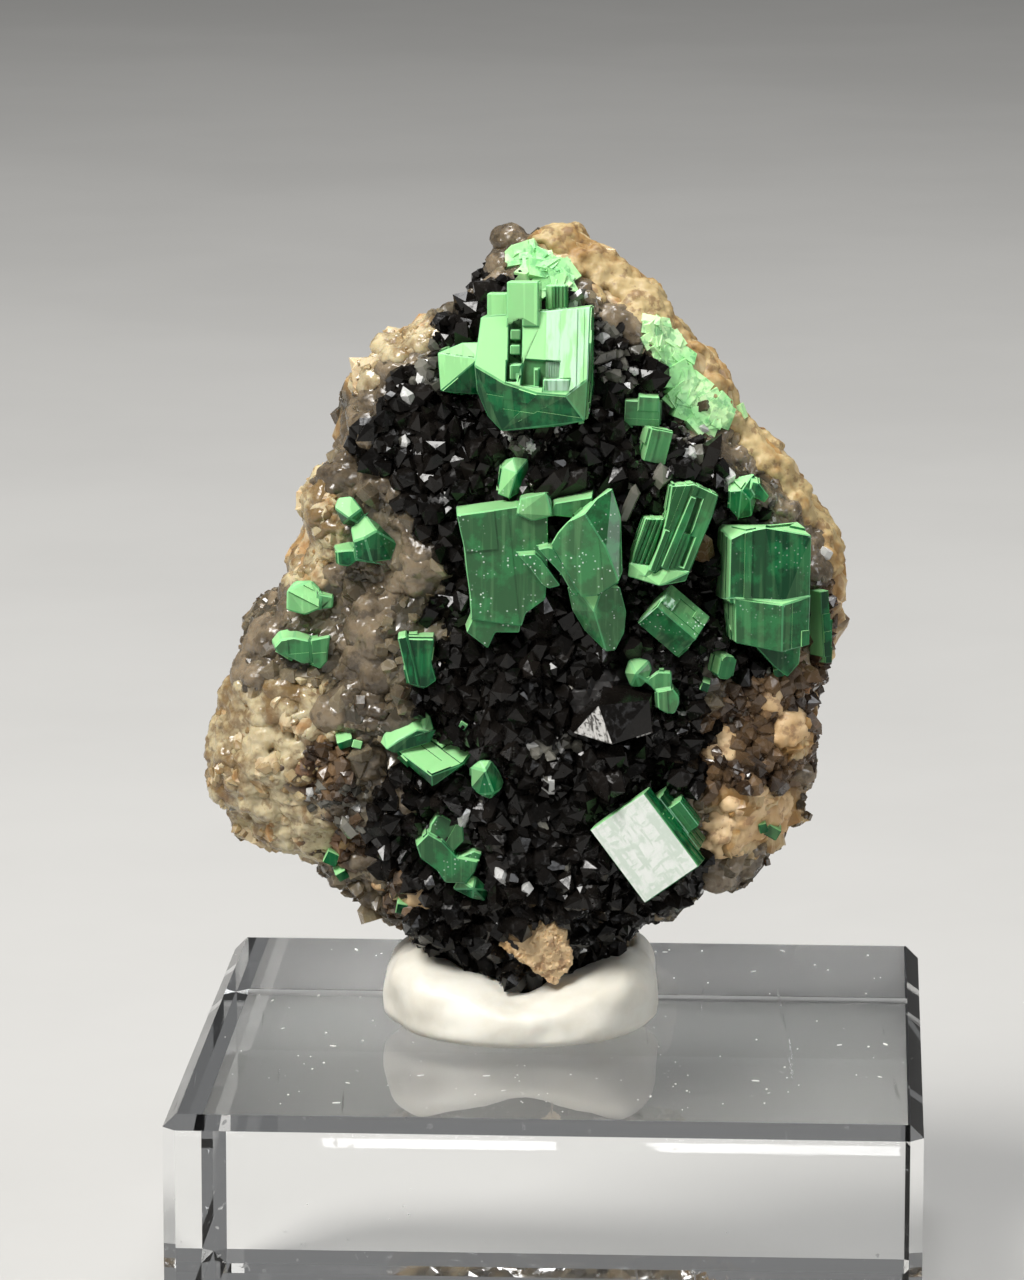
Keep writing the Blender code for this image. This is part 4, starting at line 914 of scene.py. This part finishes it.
def paintCrystal(obj, spec, edgeFaces, turned):
    # face by face: how pale it is painted for facing the key light (painted light), whether it is a bevel painted as a
    # lit rim (painted highlight), whether it is specked, and where a hatched glint is painted (painted highlight)
    rule = lightFacingRule
    towards = Vector(rule["towards"]).normalized()
    draw = random.Random(spec["name"])
    unevenness = {}
    frost = []
    rim = []
    specked = []
    white = []
    for polygon in obj.data.polygons:
        normal = (turned.to_3x3() @ polygon.normal).normalized()
        # painted light: the more the face turns towards the key light, the paler it is painted
        value = (normal.dot(towards) - rule["low"]) / (rule["high"] - rule["low"])
        facing = tuple(round(part * 20) for part in normal)
        if facing not in unevenness:
            unevenness[facing] = draw.uniform(-0.04, 0.07)
        value = min(1.0, max(0.0, value)) ** 1.2 + spec.get("lift", 0.0) + unevenness[facing]
        centre = polygon.center
        for (x0, x1), (z0, z1), extra in spec.get("paint", []):
            if x0 < centre.x < x1 and z0 < centre.z < z1 and normal.y < -0.4:
                value += extra
        frost.append(min(1.0, max(0.0, value)))
        rim.append(1.0 if polygon.index in edgeFaces else 0.0)
        specked.append(spec.get("specks", 0.0) if normal.y < -0.2 else 0.0)
        white.append(0.0)
        # patches painted as a pale hatched glint: painted highlight
        for (x0, x1), (z0, z1), amount in spec.get("white", []):
            if x0 < centre.x < x1 and z0 < centre.z < z1 and normal.y < -0.2:
                white[-1] = amount
    for name, values in (("frost", frost), ("rim", rim), ("specked", specked), ("white", white)):
        setMask(obj.data, name, values, "FACE")


def dressCrystal(spec):
    name = spec["name"]
    placed = crystalPlace(spec)
    mesh = nodes[name].data.copy()
    mesh.transform(placed.inverted() @ Matrix.Scale(1 / mm, 4))
    mesh.materials.clear()
    obj = linkMesh(name + "_crystal", mesh, finishes["green"], "torbernite")
    if spec.get("parts"):
        unionInto(obj, spec["parts"])
    bm = bmesh.new()
    bm.from_mesh(obj.data)
    cleanUp(bm)
    # bevel faces are marked here to be painted as lit rims: painted highlight
    worn = bm.faces.layers.int.new("worn")
    sharp = [e for e in bm.edges if len(e.link_faces) == 2 and e.calc_face_angle(0) > 0.3]
    made = bmesh.ops.bevel(bm, geom=sharp, offset=spec["bevel"], offset_type="OFFSET", segments=1, affect="EDGES")
    for face in made["faces"]:
        face[worn] = 1
    bm.normal_update()
    draw = random.Random(spec["name"] + "steps")
    for rule in spec.get("steps", []):
        cutSteps(bm, rule, draw)
    if not spec.get("paintedReflection"):
        growTerraces(bm, draw)
    bmesh.ops.triangulate(bm, faces=[f for f in bm.faces if len(f.verts) > 4])
    bm.normal_update()
    bm.to_mesh(obj.data)
    edgeFaces = {i for i, f in enumerate(bm.faces) if f[worn]}
    bm.free()
    paintCrystal(obj, spec, edgeFaces, placed)
    # the mirror crystal's broad front face gets the white streaked finish: a painted reflection of the lights
    if spec.get("paintedReflection"):
        obj.data.materials.append(finishes["paintedReflection"])
        front = (placed.inverted().to_3x3() @ Vector((-0.25, -0.95, 0.1))).normalized()
        wide = [p for p in obj.data.polygons if p.normal.dot(front) > 0.9]
        top = max(wide, key=lambda p: p.area)
        for polygon in wide:
            if polygon.normal.dot(top.normal) > 0.999 and abs((polygon.center - top.center).dot(top.normal)) < 0.01:
                polygon.material_index = 1
    obj.data.transform(Matrix.Scale(mm, 4))
    obj.matrix_world = Matrix.Translation(placed.translation * mm) @ standing(spec)
    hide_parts(name)
    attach(obj, "root")
    return obj


greenPieces = [dressCrystal(spec) for spec in crystals]
print("green crystals:", len(greenPieces))


def treeOfGreen():
    points = []
    faces = []
    for name in nodes:
        if name.startswith("torbernite"):
            start = len(points)
            points += [v.co / mm for v in nodes[name].data.vertices]
            faces += [[start + i for i in p.vertices] for p in nodes[name].data.polygons]
    return BVHTree.FromPolygons(points, faces)


greenTree = treeOfGreen()


def greenDistance(place):
    # distance to the nearest green crystal, negative inside one
    near, normal, _, far = greenTree.find_nearest(place)
    return -far if (place - near).dot(normal) < 0 else far


# quartz points and grains over the whole rock
# radius and how far each kind stands out as a share of it, its spacing, and how much it leans
quartz = {
    "seed": 5, "tries": 90000, "wear": 0.28,
    "blackQuartz": {"radius": (0.07, 0.42), "length": (0.1, 1.6), "spacing": 0.72, "lean": 0.85, "share": 1.0},
    "brownQuartz": {"radius": (0.08, 0.45), "length": (-0.6, 0.0), "spacing": 1.1, "lean": 1.0, "share": 0.2},
    "creamQuartz": {"radius": (0.05, 0.26), "length": (-0.4, 0.2), "spacing": 0.9, "lean": 1.0, "share": 0.14},
    "rustQuartz": {"radius": (0.07, 0.34), "length": (-0.1, 0.7), "spacing": 0.8, "lean": 0.9, "share": 0.8},
}
# where the black crystals turn grey and clear: x, z, half width, half height
sparkling = [
    (3.3, 34.6, 0.9, 1.7), (8.5, 29.5, 1.1, 0.8), (5.9, 31.3, 0.9, 0.6), (10.2, 27.6, 0.7, 0.9), (1.2, 36.4, 0.9, 0.5),
    (-3.0, 33.6, 0.9, 0.8), (0.3, 31.6, 1.0, 0.6), (-6.3, 18.4, 1.4, 0.9), (1.1, 20.9, 0.9, 0.5),
]
# single crystals that show in the photo: x, z, radius, length, roll in the picture plane, lean forward, kind
landmarks = [
    (-3.9, 32.6, 0.24, 0.4, -20, 0.4, "milkyGlintQuartz"), (-4.1, 31.0, 0.2, 0.4, 15, 0.3, "milkyGlintQuartz"),
    (-2.1, 18.4, 0.30, 0.35, 10, 0.6, "milkyGlintQuartz"), (-0.5, 16.1, 0.28, 0.6, -40, 0.6, "milkyGlintQuartz"),
    (-0.1, 15.6, 0.24, 0.6, 35, 0.6, "milkyGlintQuartz"), (1.7, 15.4, 0.26, 0.5, 30, 0.5, "milkyGlintQuartz"),
    (7.0, 29.95, 0.24, 0.3, 10, 0.5, "milkyGlintQuartz"), (0.9, 19.6, 0.22, 0.4, 0, 0.6, "milkyGlintQuartz"),
    (3.35, 28.75, 0.22, 1.3, 22, 0.2, "greyQuartz"), (4.6, 30.2, 0.34, 0.25, 30, 0.6, "greyQuartz"),
    (6.2, 27.1, 0.36, 1.2, -10, 0.4, "rustQuartz"), (0.7, 25.3, 0.42, 0.9, 5, 0.6, "blackQuartz"),
    (0.6, 31.6, 0.40, 0.8, 20, 0.5, "blackQuartz"),
]


def quartzShape(place, outward, radius, length, spin, blunt):
    # a six-sided prism, its faces uneven and its pointed end off centre
    upright = outward.to_track_quat("Z", "Y").to_matrix()
    draw = random.Random(place.x * 91 + place.z)
    wear = quartz["wear"]
    reaches = [radius * draw.uniform(1 - wear, 1 + wear) for _ in range(6)]
    shoulders = [length + radius * draw.uniform(-wear, wear) for _ in range(6)]
    points = []
    for foot in (True, False):
        for k in range(6):
            angle = spin + math.radians(60 * k)
            height = -0.8 * radius - 0.15 if foot else shoulders[k]
            points.append(Vector((reaches[k] * math.cos(angle), reaches[k] * math.sin(angle), height)))
    off = radius * 0.4
    points.append(Vector((off * math.cos(spin * 7), off * math.sin(spin * 7), length + radius * blunt)))
    faces = [(k, (k + 1) % 6, 6 + (k + 1) % 6, 6 + k) for k in range(6)]
    faces += [(6 + k, 6 + (k + 1) % 6, 12) for k in range(6)]
    faces.append((5, 4, 3, 2, 1, 0))
    return [place + upright @ p for p in points], faces


class Scatter:
    # crystals of one kind gathered into one mesh
    def __init__(self):
        self.points = []
        self.faces = []
        self.tints = []

    def add(self, points, faces, tint):
        start = len(self.points)
        self.points += points
        self.faces += [tuple(start + i for i in f) for f in faces]
        self.tints += [tint] * len(faces)

    def build(self, name, finish, slot):
        mesh = bpy.data.meshes.new(name)
        mesh.from_pydata([p * mm for p in self.points], [], self.faces)
        setMask(mesh, "tint", self.tints, "FACE")
        obj = linkMesh(name, mesh, finish, slot)
        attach(obj, "root")
        return obj


pyramid = {
    "at": (3.0, 22.2), "clear": 1.5, "lift": 0.35,
    "corners": [
        (-1.55, 0.6, -0.45), (-0.2, 0.6, 1.0), (1.5, 0.6, 0.7), (1.6, 0.6, -0.7), (-0.1, 0.6, -1.3),
        (-1.27, -0.25, -0.65), (-0.45, -1.35, 0.52), (0.03, -1.3, -0.83), (1.3, -0.5, 0.55), (1.4, -0.3, -0.6),
    ],
}
pyramidMiddle = seat(*pyramid["at"])[0]


def scatterQuartz(body):
    mesh = body.data
    draw = np.random.default_rng(quartz["seed"])
    chance = random.Random(quartz["seed"])
    areas = np.array([p.area for p in mesh.polygons])
    picked = draw.choice(len(areas), size=quartz["tries"], p=areas / areas.sum())
    centres = np.array([mesh.polygons[int(i)].center[:] for i in picked]) / mm
    found = zoneWeights(centres)
    sizes = np.sort(draw.random(quartz["tries"]) ** 2.4)[::-1]
    gathered = {name: Scatter() for name in quartzLooks}
    taken = {}
    for index, place in enumerate(centres):
        place = Vector(place)
        if found["rind"][index] > 0.35 or place.z < 11.5:
            continue
        if found["black"][index] > 0.5:
            kind = "blackQuartz"
        elif found["cream"][index] > 0.45:
            kind = "creamQuartz"
        elif found["ochre"][index] > 0.6:
            continue
        elif found["rust"][index] > 0.4:
            kind = "rustQuartz"
        else:
            kind = "brownQuartz"
        rule = quartz[kind]
        sparkle = any(math.hypot((place.x - px) / wide, (place.z - pz) / tall) < 1 for px, pz, wide, tall in sparkling)
        if chance.random() > rule["share"] or (place.y > 1.5 and chance.random() < 0.75):
            continue
        low, high = rule["radius"]
        radius = low + (high - low) * sizes[index]
        length = radius * chance.uniform(*rule["length"])
        cell = tuple(int(c // 0.6) for c in place)
        near = [
            other for dx in (-1, 0, 1) for dy in (-1, 0, 1) for dz in (-1, 0, 1)
            for other in taken.get((cell[0] + dx, cell[1] + dy, cell[2] + dz), ())
        ]
        if any((place - spot).length < rule["spacing"] * 0.62 * (radius + other) for spot, other in near):
            continue
        _, normal, _, _ = roughTree.find_nearest(place)
        if abs(normal.y) < 0.55 and radius > 0.2:
            continue
        if sparkle and radius > 0.26:
            radius *= 0.6
            length *= 0.6
        # outside the sparkling patches, a few small black crystals turn grey or near-white to stand for glints: painted
        # highlights; inside the patches they are the stone's own grey clear grains
        if place.y < 0 and chance.random() < (0.6 if sparkle else 0.03 * (radius < 0.2)):
            kind = "greyQuartz" if chance.random() < 0.8 else "milkyGlintQuartz"
        lean = rule["lean"]
        outward = (normal + Vector([chance.uniform(-lean, lean) for _ in range(3)])).normalized()
        if greenDistance(place + outward * length * 0.7) < radius * 1.0 + 0.05:
            continue
        if (place - pyramidMiddle).length < pyramid["clear"]:
            continue
        taken.setdefault(cell, []).append((place, radius))
        points, faces = quartzShape(place, outward, radius, length, chance.uniform(0, 1.05), chance.uniform(0.7, 1.25))
        gathered[kind].add(points, faces, chance.random() ** 2)
    for x, z, radius, length, roll, forward, kind in landmarks:
        place, normal = seat(x, z)
        angle = math.radians(roll)
        outward = Vector((math.sin(angle), -forward - 0.15, math.cos(angle))).normalized()
        points, faces = quartzShape(place, outward, radius, length, 0.3, 1.0)
        gathered[kind].add(points, faces, 0.8)
    for name, scatter in gathered.items():
        scatter.build(name + "_points", finishes[name], "matrix")
        print(name, len(scatter.tints) // 13, "crystals")


scatterQuartz(rockBody)

# crusts and lumps that are fused from many small grains


def fusedLumps(name, balls, voxel, rough, finish, seed, relax=0):
    # rounded grains grown into one skin, then roughened
    bm = bmesh.new()
    for place, radius, squash in balls:
        made = bmesh.ops.create_icosphere(bm, subdivisions=2, radius=radius)["verts"]
        for vertex in made:
            vertex.co = Vector((vertex.co.x, vertex.co.y, vertex.co.z * squash)) + place
    mesh = bpy.data.meshes.new(name)
    bm.to_mesh(mesh)
    bm.free()
    obj = linkMesh(name, mesh, finish, "matrix")
    skin = obj.modifiers.new("skin", "REMESH")
    skin.mode = "VOXEL"
    skin.voxel_size = voxel
    if relax:
        relaxed = obj.modifiers.new("relaxed", "SMOOTH")
        relaxed.factor = 0.5
        relaxed.iterations = relax
    bakeModifiers(obj)
    places = readPlaces(obj.data)
    shift = Vector((seed, seed * 2, -seed))
    heights = np.array([
        0.7 * noise.noise(Vector(p) * 2.6 + shift) + 0.45 * noise.noise(Vector(p) * 6.5 + shift) for p in places
    ]) * rough
    pushOut(obj.data, heights)
    obj.data.transform(Matrix.Scale(mm, 4))
    obj.data.polygons.foreach_set("use_smooth", np.full(len(obj.data.polygons), True))
    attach(obj, "root")
    return obj


rind = {"count": 760, "seed": 8, "radius": (0.16, 0.46), "voxel": 0.085, "relax": 5}


def buildRind():
    draw = random.Random(rind["seed"])
    line = [Vector(p) for p in zones["rindLine"]]
    balls = []
    while len(balls) < rind["count"]:
        spot = draw.uniform(0, len(line) - 1.001)
        k = int(spot)
        middle = line[k].lerp(line[k + 1], spot - k)
        depth = draw.uniform(-2.2, 2.6)
        wide = 0.9 * float(rindWidth(middle.y))
        x = middle.x + draw.gauss(-0.3 * wide, 0.5 * wide)
        z = middle.y + draw.gauss(-0.3 * wide, 0.5 * wide)
        place, normal, _, _ = roughTree.find_nearest(Vector((x, depth, z)))
        off = math.hypot(place.x - middle.x, place.z - middle.y)
        if off > wide * 1.15 or place.y < -2.6 or greenDistance(place) < 0.4:
            continue
        radius = draw.uniform(*rind["radius"])
        balls.append((place - normal * radius * 0.35, radius, draw.uniform(0.7, 1.0)))
    fusedLumps("ochre_rind", balls, rind["voxel"], 0.10, finishes["ochre"], 3, rind["relax"])


buildRind()
print("rind built")

# rounded lumps on the front: x, z, half width, half height of each group
lumpGroups = [
    {"name": "tan_lumps", "finish": "tan", "seed": 14, "radius": (0.16, 0.48), "crowd": 80, "rough": 0.1,
     "spots": [(8.0, 18.0, 1.4, 0.9), (7.0, 17.4, 0.8, 0.6), (9.3, 21.3, 0.6, 0.7), (8.6, 22.4, 0.5, 0.4),
               (-3.6, 15.2, 0.9, 0.7), (10.7, 23.6, 0.3, 1.2), (6.9, 20.8, 0.4, 0.5)]},
    {"name": "smoky_lumps", "finish": "smoky", "seed": 15, "radius": (0.3, 0.85), "crowd": 26, "rough": 0.07,
     "spots": [(-5.3, 24.2, 0.8, 1.3), (-6.4, 29.9, 0.8, 0.9), (-5.2, 31.6, 0.7, 0.8), (-4.6, 21.4, 0.9, 0.7),
               (-3.9, 27.0, 0.8, 0.8), (-1.6, 37.2, 0.7, 0.5), (-6.4, 22.2, 0.8, 0.6), (-3.9, 19.0, 0.6, 0.7)]},
    {"name": "cream_lumps", "finish": "creamLump", "seed": 16, "radius": (0.2, 0.6), "crowd": 50, "rough": 0.08,
     "spots": [(-7.5, 26.3, 0.9, 0.5), (-7.3, 28.7, 0.5, 0.7), (-3.0, 23.7, 0.4, 0.5), (-9.0, 21.8, 0.8, 0.5),
               (-10.6, 19.4, 0.5, 1.2), (-5.0, 34.2, 0.8, 0.4), (-6.1, 32.9, 0.4, 0.8)]},
]


def buildLumps(group):
    draw = random.Random(group["seed"])
    balls = []
    for x, z, wide, tall in group["spots"]:
        for _ in range(max(6, int(group["crowd"] * wide * tall))):
            place, normal = seat(x + draw.gauss(0, wide * 0.5), z + draw.gauss(0, tall * 0.5))
            if place is None:
                continue
            radius = draw.uniform(*group["radius"])
            if greenDistance(place) < radius + 0.1:
                continue
            balls.append((place - normal * radius * 0.4, radius, draw.uniform(0.6, 1.0)))
    fusedLumps(group["name"], balls, 0.085, group["rough"], finishes[group["finish"]], group["seed"])


for group in lumpGroups:
    buildLumps(group)

# stone that covers a whole zone: grains grown into one another
zoneCrusts = [
    {"name": "smoky_crust", "zone": "glassy", "finish": "smoky", "count": 520, "radius": (0.18, 0.75), "seed": 41,
     "rough": 0.10, "relax": 2},
    {"name": "cream_crust", "zone": "cream", "finish": "creamLump", "count": 620, "radius": (0.16, 0.66), "seed": 42,
     "rough": 0.12, "relax": 3},
]


def buildZoneCrust(group):
    draw = random.Random(group["seed"])
    weights = rockZones[group["zone"]]
    exposed = [i for i in range(len(rockPlaces)) if weights[i] > 0.55 and rockPlaces[i][1] < 1.2 and rockPlaces[i][2] > 12]
    balls = []
    while len(balls) < group["count"]:
        place, normal, _, _ = roughTree.find_nearest(Vector(rockPlaces[draw.choice(exposed)]))
        low, high = group["radius"]
        radius = low + (high - low) * draw.random() ** 2.2
        if greenDistance(place) < radius + 0.12:
            radius = low
            if greenDistance(place) < radius + 0.12:
                continue
        balls.append((place - normal * radius * 0.55, radius, draw.uniform(0.6, 1.0)))
    fusedLumps(
        group["name"], balls, 0.09, group["rough"], finishes[group["finish"]], group["seed"], group["relax"]
    )


for group in zoneCrusts:
    buildZoneCrust(group)
print("lumps and crusts built")

# tiny green tablets too small to be solids of their own: x, z, width, height, roll
chips = [
    (8.56, 17.63, 0.5, 0.42, 30), (8.2, 17.9, 0.3, 0.36, -15), (-6.1, 21.0, 0.55, 0.34, -20),
    (-5.7, 20.8, 0.35, 0.3, 15), (-6.6, 16.4, 0.5, 0.5, 25), (-6.3, 15.9, 0.4, 0.4, -30),
    (-4.1, 15.0, 0.4, 0.5, 10), (-3.8, 14.6, 0.35, 0.3, 40), (6.2, 23.1, 0.3, 0.35, 20),
    (8.7, 23.4, 0.35, 0.3, -10), (-2.0, 21.7, 0.3, 0.25, 35), (0.3, 37.4, 0.3, 0.3, 20),
]


def buildChips():
    draw = random.Random(33)
    bm = bmesh.new()
    for x, z, width, height, roll in chips:
        place, normal = seat(x, z)
        turned = Matrix.Rotation(math.radians(roll), 3, "Y") @ Matrix.Rotation(draw.uniform(-0.6, 0.6), 3, "X")
        for vertex in bmesh.ops.create_cube(bm, size=1)["verts"]:
            scaled = Vector((vertex.co.x * width, vertex.co.y * 0.7, vertex.co.z * height))
            vertex.co = place + normal * 0.12 + turned @ scaled
    bmesh.ops.bevel(bm, geom=bm.edges, offset=0.03, offset_type="OFFSET", segments=1, affect="EDGES")
    bm.normal_update()
    # chips facing the key light are painted paler: painted light
    frost = [max(0.0, min(1.0, (f.normal.dot(Vector((-0.5, -0.3, 0.81))) - 0.2) / 0.4)) for f in bm.faces]
    obj = makeObject("green_chips", bm, finishes["green"], "torbernite")
    setMask(obj.data, "frost", frost, "FACE")
    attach(obj, "root")


buildChips()

fragment = {
    "at": (0.6, 13.6), "voxel": 0.07,
    "corners": [
        (-1.45, -0.5, 0.1), (-0.7, -0.7, 0.95), (0.6, -0.75, 1.1), (1.35, -0.3, 0.35), (1.1, -0.5, -0.6),
        (0.5, -0.6, -1.35), (-0.3, -0.85, -0.5), (-0.8, 0.9, 0.3), (0.9, 0.9, 0.5), (0.3, 0.9, -0.9), (0.1, -1.05, 0.35),
    ],
}


def buildFragment():
    place, _ = seat(*fragment["at"])
    bm = bmesh.new()
    for corner in fragment["corners"]:
        bm.verts.new(place + Vector(corner))
    bmesh.ops.convex_hull(bm, input=bm.verts)
    mesh = bpy.data.meshes.new("fragment")
    bm.to_mesh(mesh)
    bm.free()
    obj = linkMesh("tan_fragment", mesh, finishes["tan"], "matrix")
    skin = obj.modifiers.new("skin", "REMESH")
    skin.mode = "VOXEL"
    skin.voxel_size = fragment["voxel"]
    bakeModifiers(obj)
    places = readPlaces(obj.data)
    flats = brokenGrains(places, 0.9, 31) * 0.4
    ripple = np.array([noise.noise(Vector(p) * 4.0) for p in places]) * 0.04
    pushOut(obj.data, flats + ripple)
    obj.data.transform(Matrix.Scale(mm, 4))
    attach(obj, "root")


buildFragment()


def buildPyramid():
    bm = bmesh.new()
    for corner in pyramid["corners"]:
        bm.verts.new(pyramidMiddle + Vector(corner) - Vector((0, pyramid["lift"], 0)))
    bmesh.ops.convex_hull(bm, input=bm.verts)
    cleanUp(bm)
    draw = random.Random(2)
    growTerraces(bm, draw)
    bmesh.ops.triangulate(bm, faces=[f for f in bm.faces if len(f.verts) > 4])
    obj = makeObject("smoky_pyramid", bm, finishes["blackQuartz"], "matrix")
    setMask(obj.data, "tint", [0.5] * len(obj.data.polygons), "FACE")
    # one face of the black pyramid gets the pale hatched finish: a painted glint of the lights
    obj.data.materials.append(finishes["hatchedGlint"])
    for polygon in obj.data.polygons:
        if polygon.normal.dot(Vector((-0.58, -0.8, -0.15))) > 0.93:
            polygon.material_index = 1
    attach(obj, "root")


buildPyramid()
print("fragment and pyramid built")

# pale crusts under the rind and at the peak: stacked angular flakes
crusts = [
    {"name": "torbernite_rind_sheet", "line": [(4.1, 35.0), (4.7, 34.5), (5.2, 33.7), (5.4, 32.8), (6.2, 32.2), (6.9, 31.9)], "width": 0.62, "count": 110, "seed": 3},
    {"name": "torbernite_peak_sheet", "line": [(-0.1, 37.6), (0.6, 37.1), (1.3, 36.5)], "width": 0.55, "count": 40, "seed": 4},
]


def buildCrust(spec):
    draw = random.Random(spec["seed"])
    line = [Vector(p) for p in spec["line"]]
    bm = bmesh.new()
    for _ in range(spec["count"]):
        spot = draw.uniform(0, len(line) - 1.001)
        k = int(spot)
        middle = line[k].lerp(line[k + 1], spot - k)
        x = middle.x + draw.gauss(0, spec["width"] * 0.4)
        z = middle.y + draw.gauss(0, spec["width"] * 0.4)
        place, normal = seat(x, z)
        if place is None:
            continue
        wide = draw.uniform(0.3, 0.8)
        tall = draw.uniform(0.3, 0.9)
        thick = draw.uniform(0.08, 0.2)
        lean = (normal + Vector([draw.uniform(-0.2, 0.2) for _ in range(3)])).normalized()
        turned = lean.to_track_quat("Z", "Y").to_matrix() @ Matrix.Rotation(draw.uniform(0, 1.5), 3, "Z")
        cube = bmesh.ops.create_cube(bm, size=1)["verts"]
        for vertex in cube:
            scaled = Vector((vertex.co.x * wide, vertex.co.y * tall, vertex.co.z * (thick + 0.5) - 0.25))
            vertex.co = place + normal * draw.uniform(0.0, 0.01) + turned @ scaled + lean * 0.16
    obj = makeObject(spec["name"] + "_flakes", bm, finishes["mintCrust"], "torbernite")
    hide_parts(spec["name"])
    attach(obj, "root")


for spec in crusts:
    buildCrust(spec)
print("pale crusts built")

# putty

putty = {"voxel": 0.12, "smooth": 3, "dents": 0.16}


def buildPutty():
    mesh = nodes["mounting_putty"].data.copy()
    mesh.transform(Matrix.Scale(1 / mm, 4))
    mesh.materials.clear()
    obj = linkMesh("putty_dab", mesh, finishes["putty"], "putty")
    skin = obj.modifiers.new("skin", "REMESH")
    skin.mode = "VOXEL"
    skin.voxel_size = putty["voxel"]
    relaxed = obj.modifiers.new("relaxed", "SMOOTH")
    relaxed.factor = 0.5
    relaxed.iterations = putty["smooth"]
    bakeModifiers(obj)
    places = readPlaces(obj.data)
    dents = np.array([
        noise.noise(Vector(p) * 0.55 + Vector((2, 7, 1))) + 0.35 * noise.noise(Vector(p) * 1.6) for p in places
    ]) * putty["dents"]
    dents *= softStep(places[:, 2], 10.1, 10.9)
    pushOut(obj.data, dents)
    obj.data.transform(Matrix.Scale(mm, 4))
    obj.data.polygons.foreach_set("use_smooth", np.full(len(obj.data.polygons), True))
    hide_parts("mounting_putty")
    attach(obj, "root")


buildPutty()

# clear base: the solid itself, with the dust that lies on it
base = nodes["acrylic_base"]
base.data.materials.clear()
base.data.materials.append(finishes["acrylic"])
dust = {"count": 150, "seed": 19, "size": (0.012, 0.05), "long": 0.2}


def buildDust():
    draw = random.Random(dust["seed"])
    low, high = (Vector(corner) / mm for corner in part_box("acrylic_base"))
    bm = bmesh.new()
    for _ in range(dust["count"]):
        x = draw.uniform(low.x + 1.5, high.x - 1.5)
        y = draw.uniform(low.y + 1.5, high.y - 1.5)
        size = draw.uniform(*dust["size"])
        stretch = 3.5 if draw.random() < dust["long"] else 1.0
        spin = Matrix.Rotation(draw.uniform(0, 3.1), 3, "Z")
        for vertex in bmesh.ops.create_icosphere(bm, subdivisions=1, radius=size)["verts"]:
            flat = Vector((vertex.co.x * stretch, vertex.co.y, vertex.co.z * 0.5))
            vertex.co = spin @ flat + Vector((x, y, high.z + size * 0.3))
    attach(makeObject("base_dust", bm, finishes["dust"], "acrylic"), "root")


buildDust()
print("putty, base and dust done")
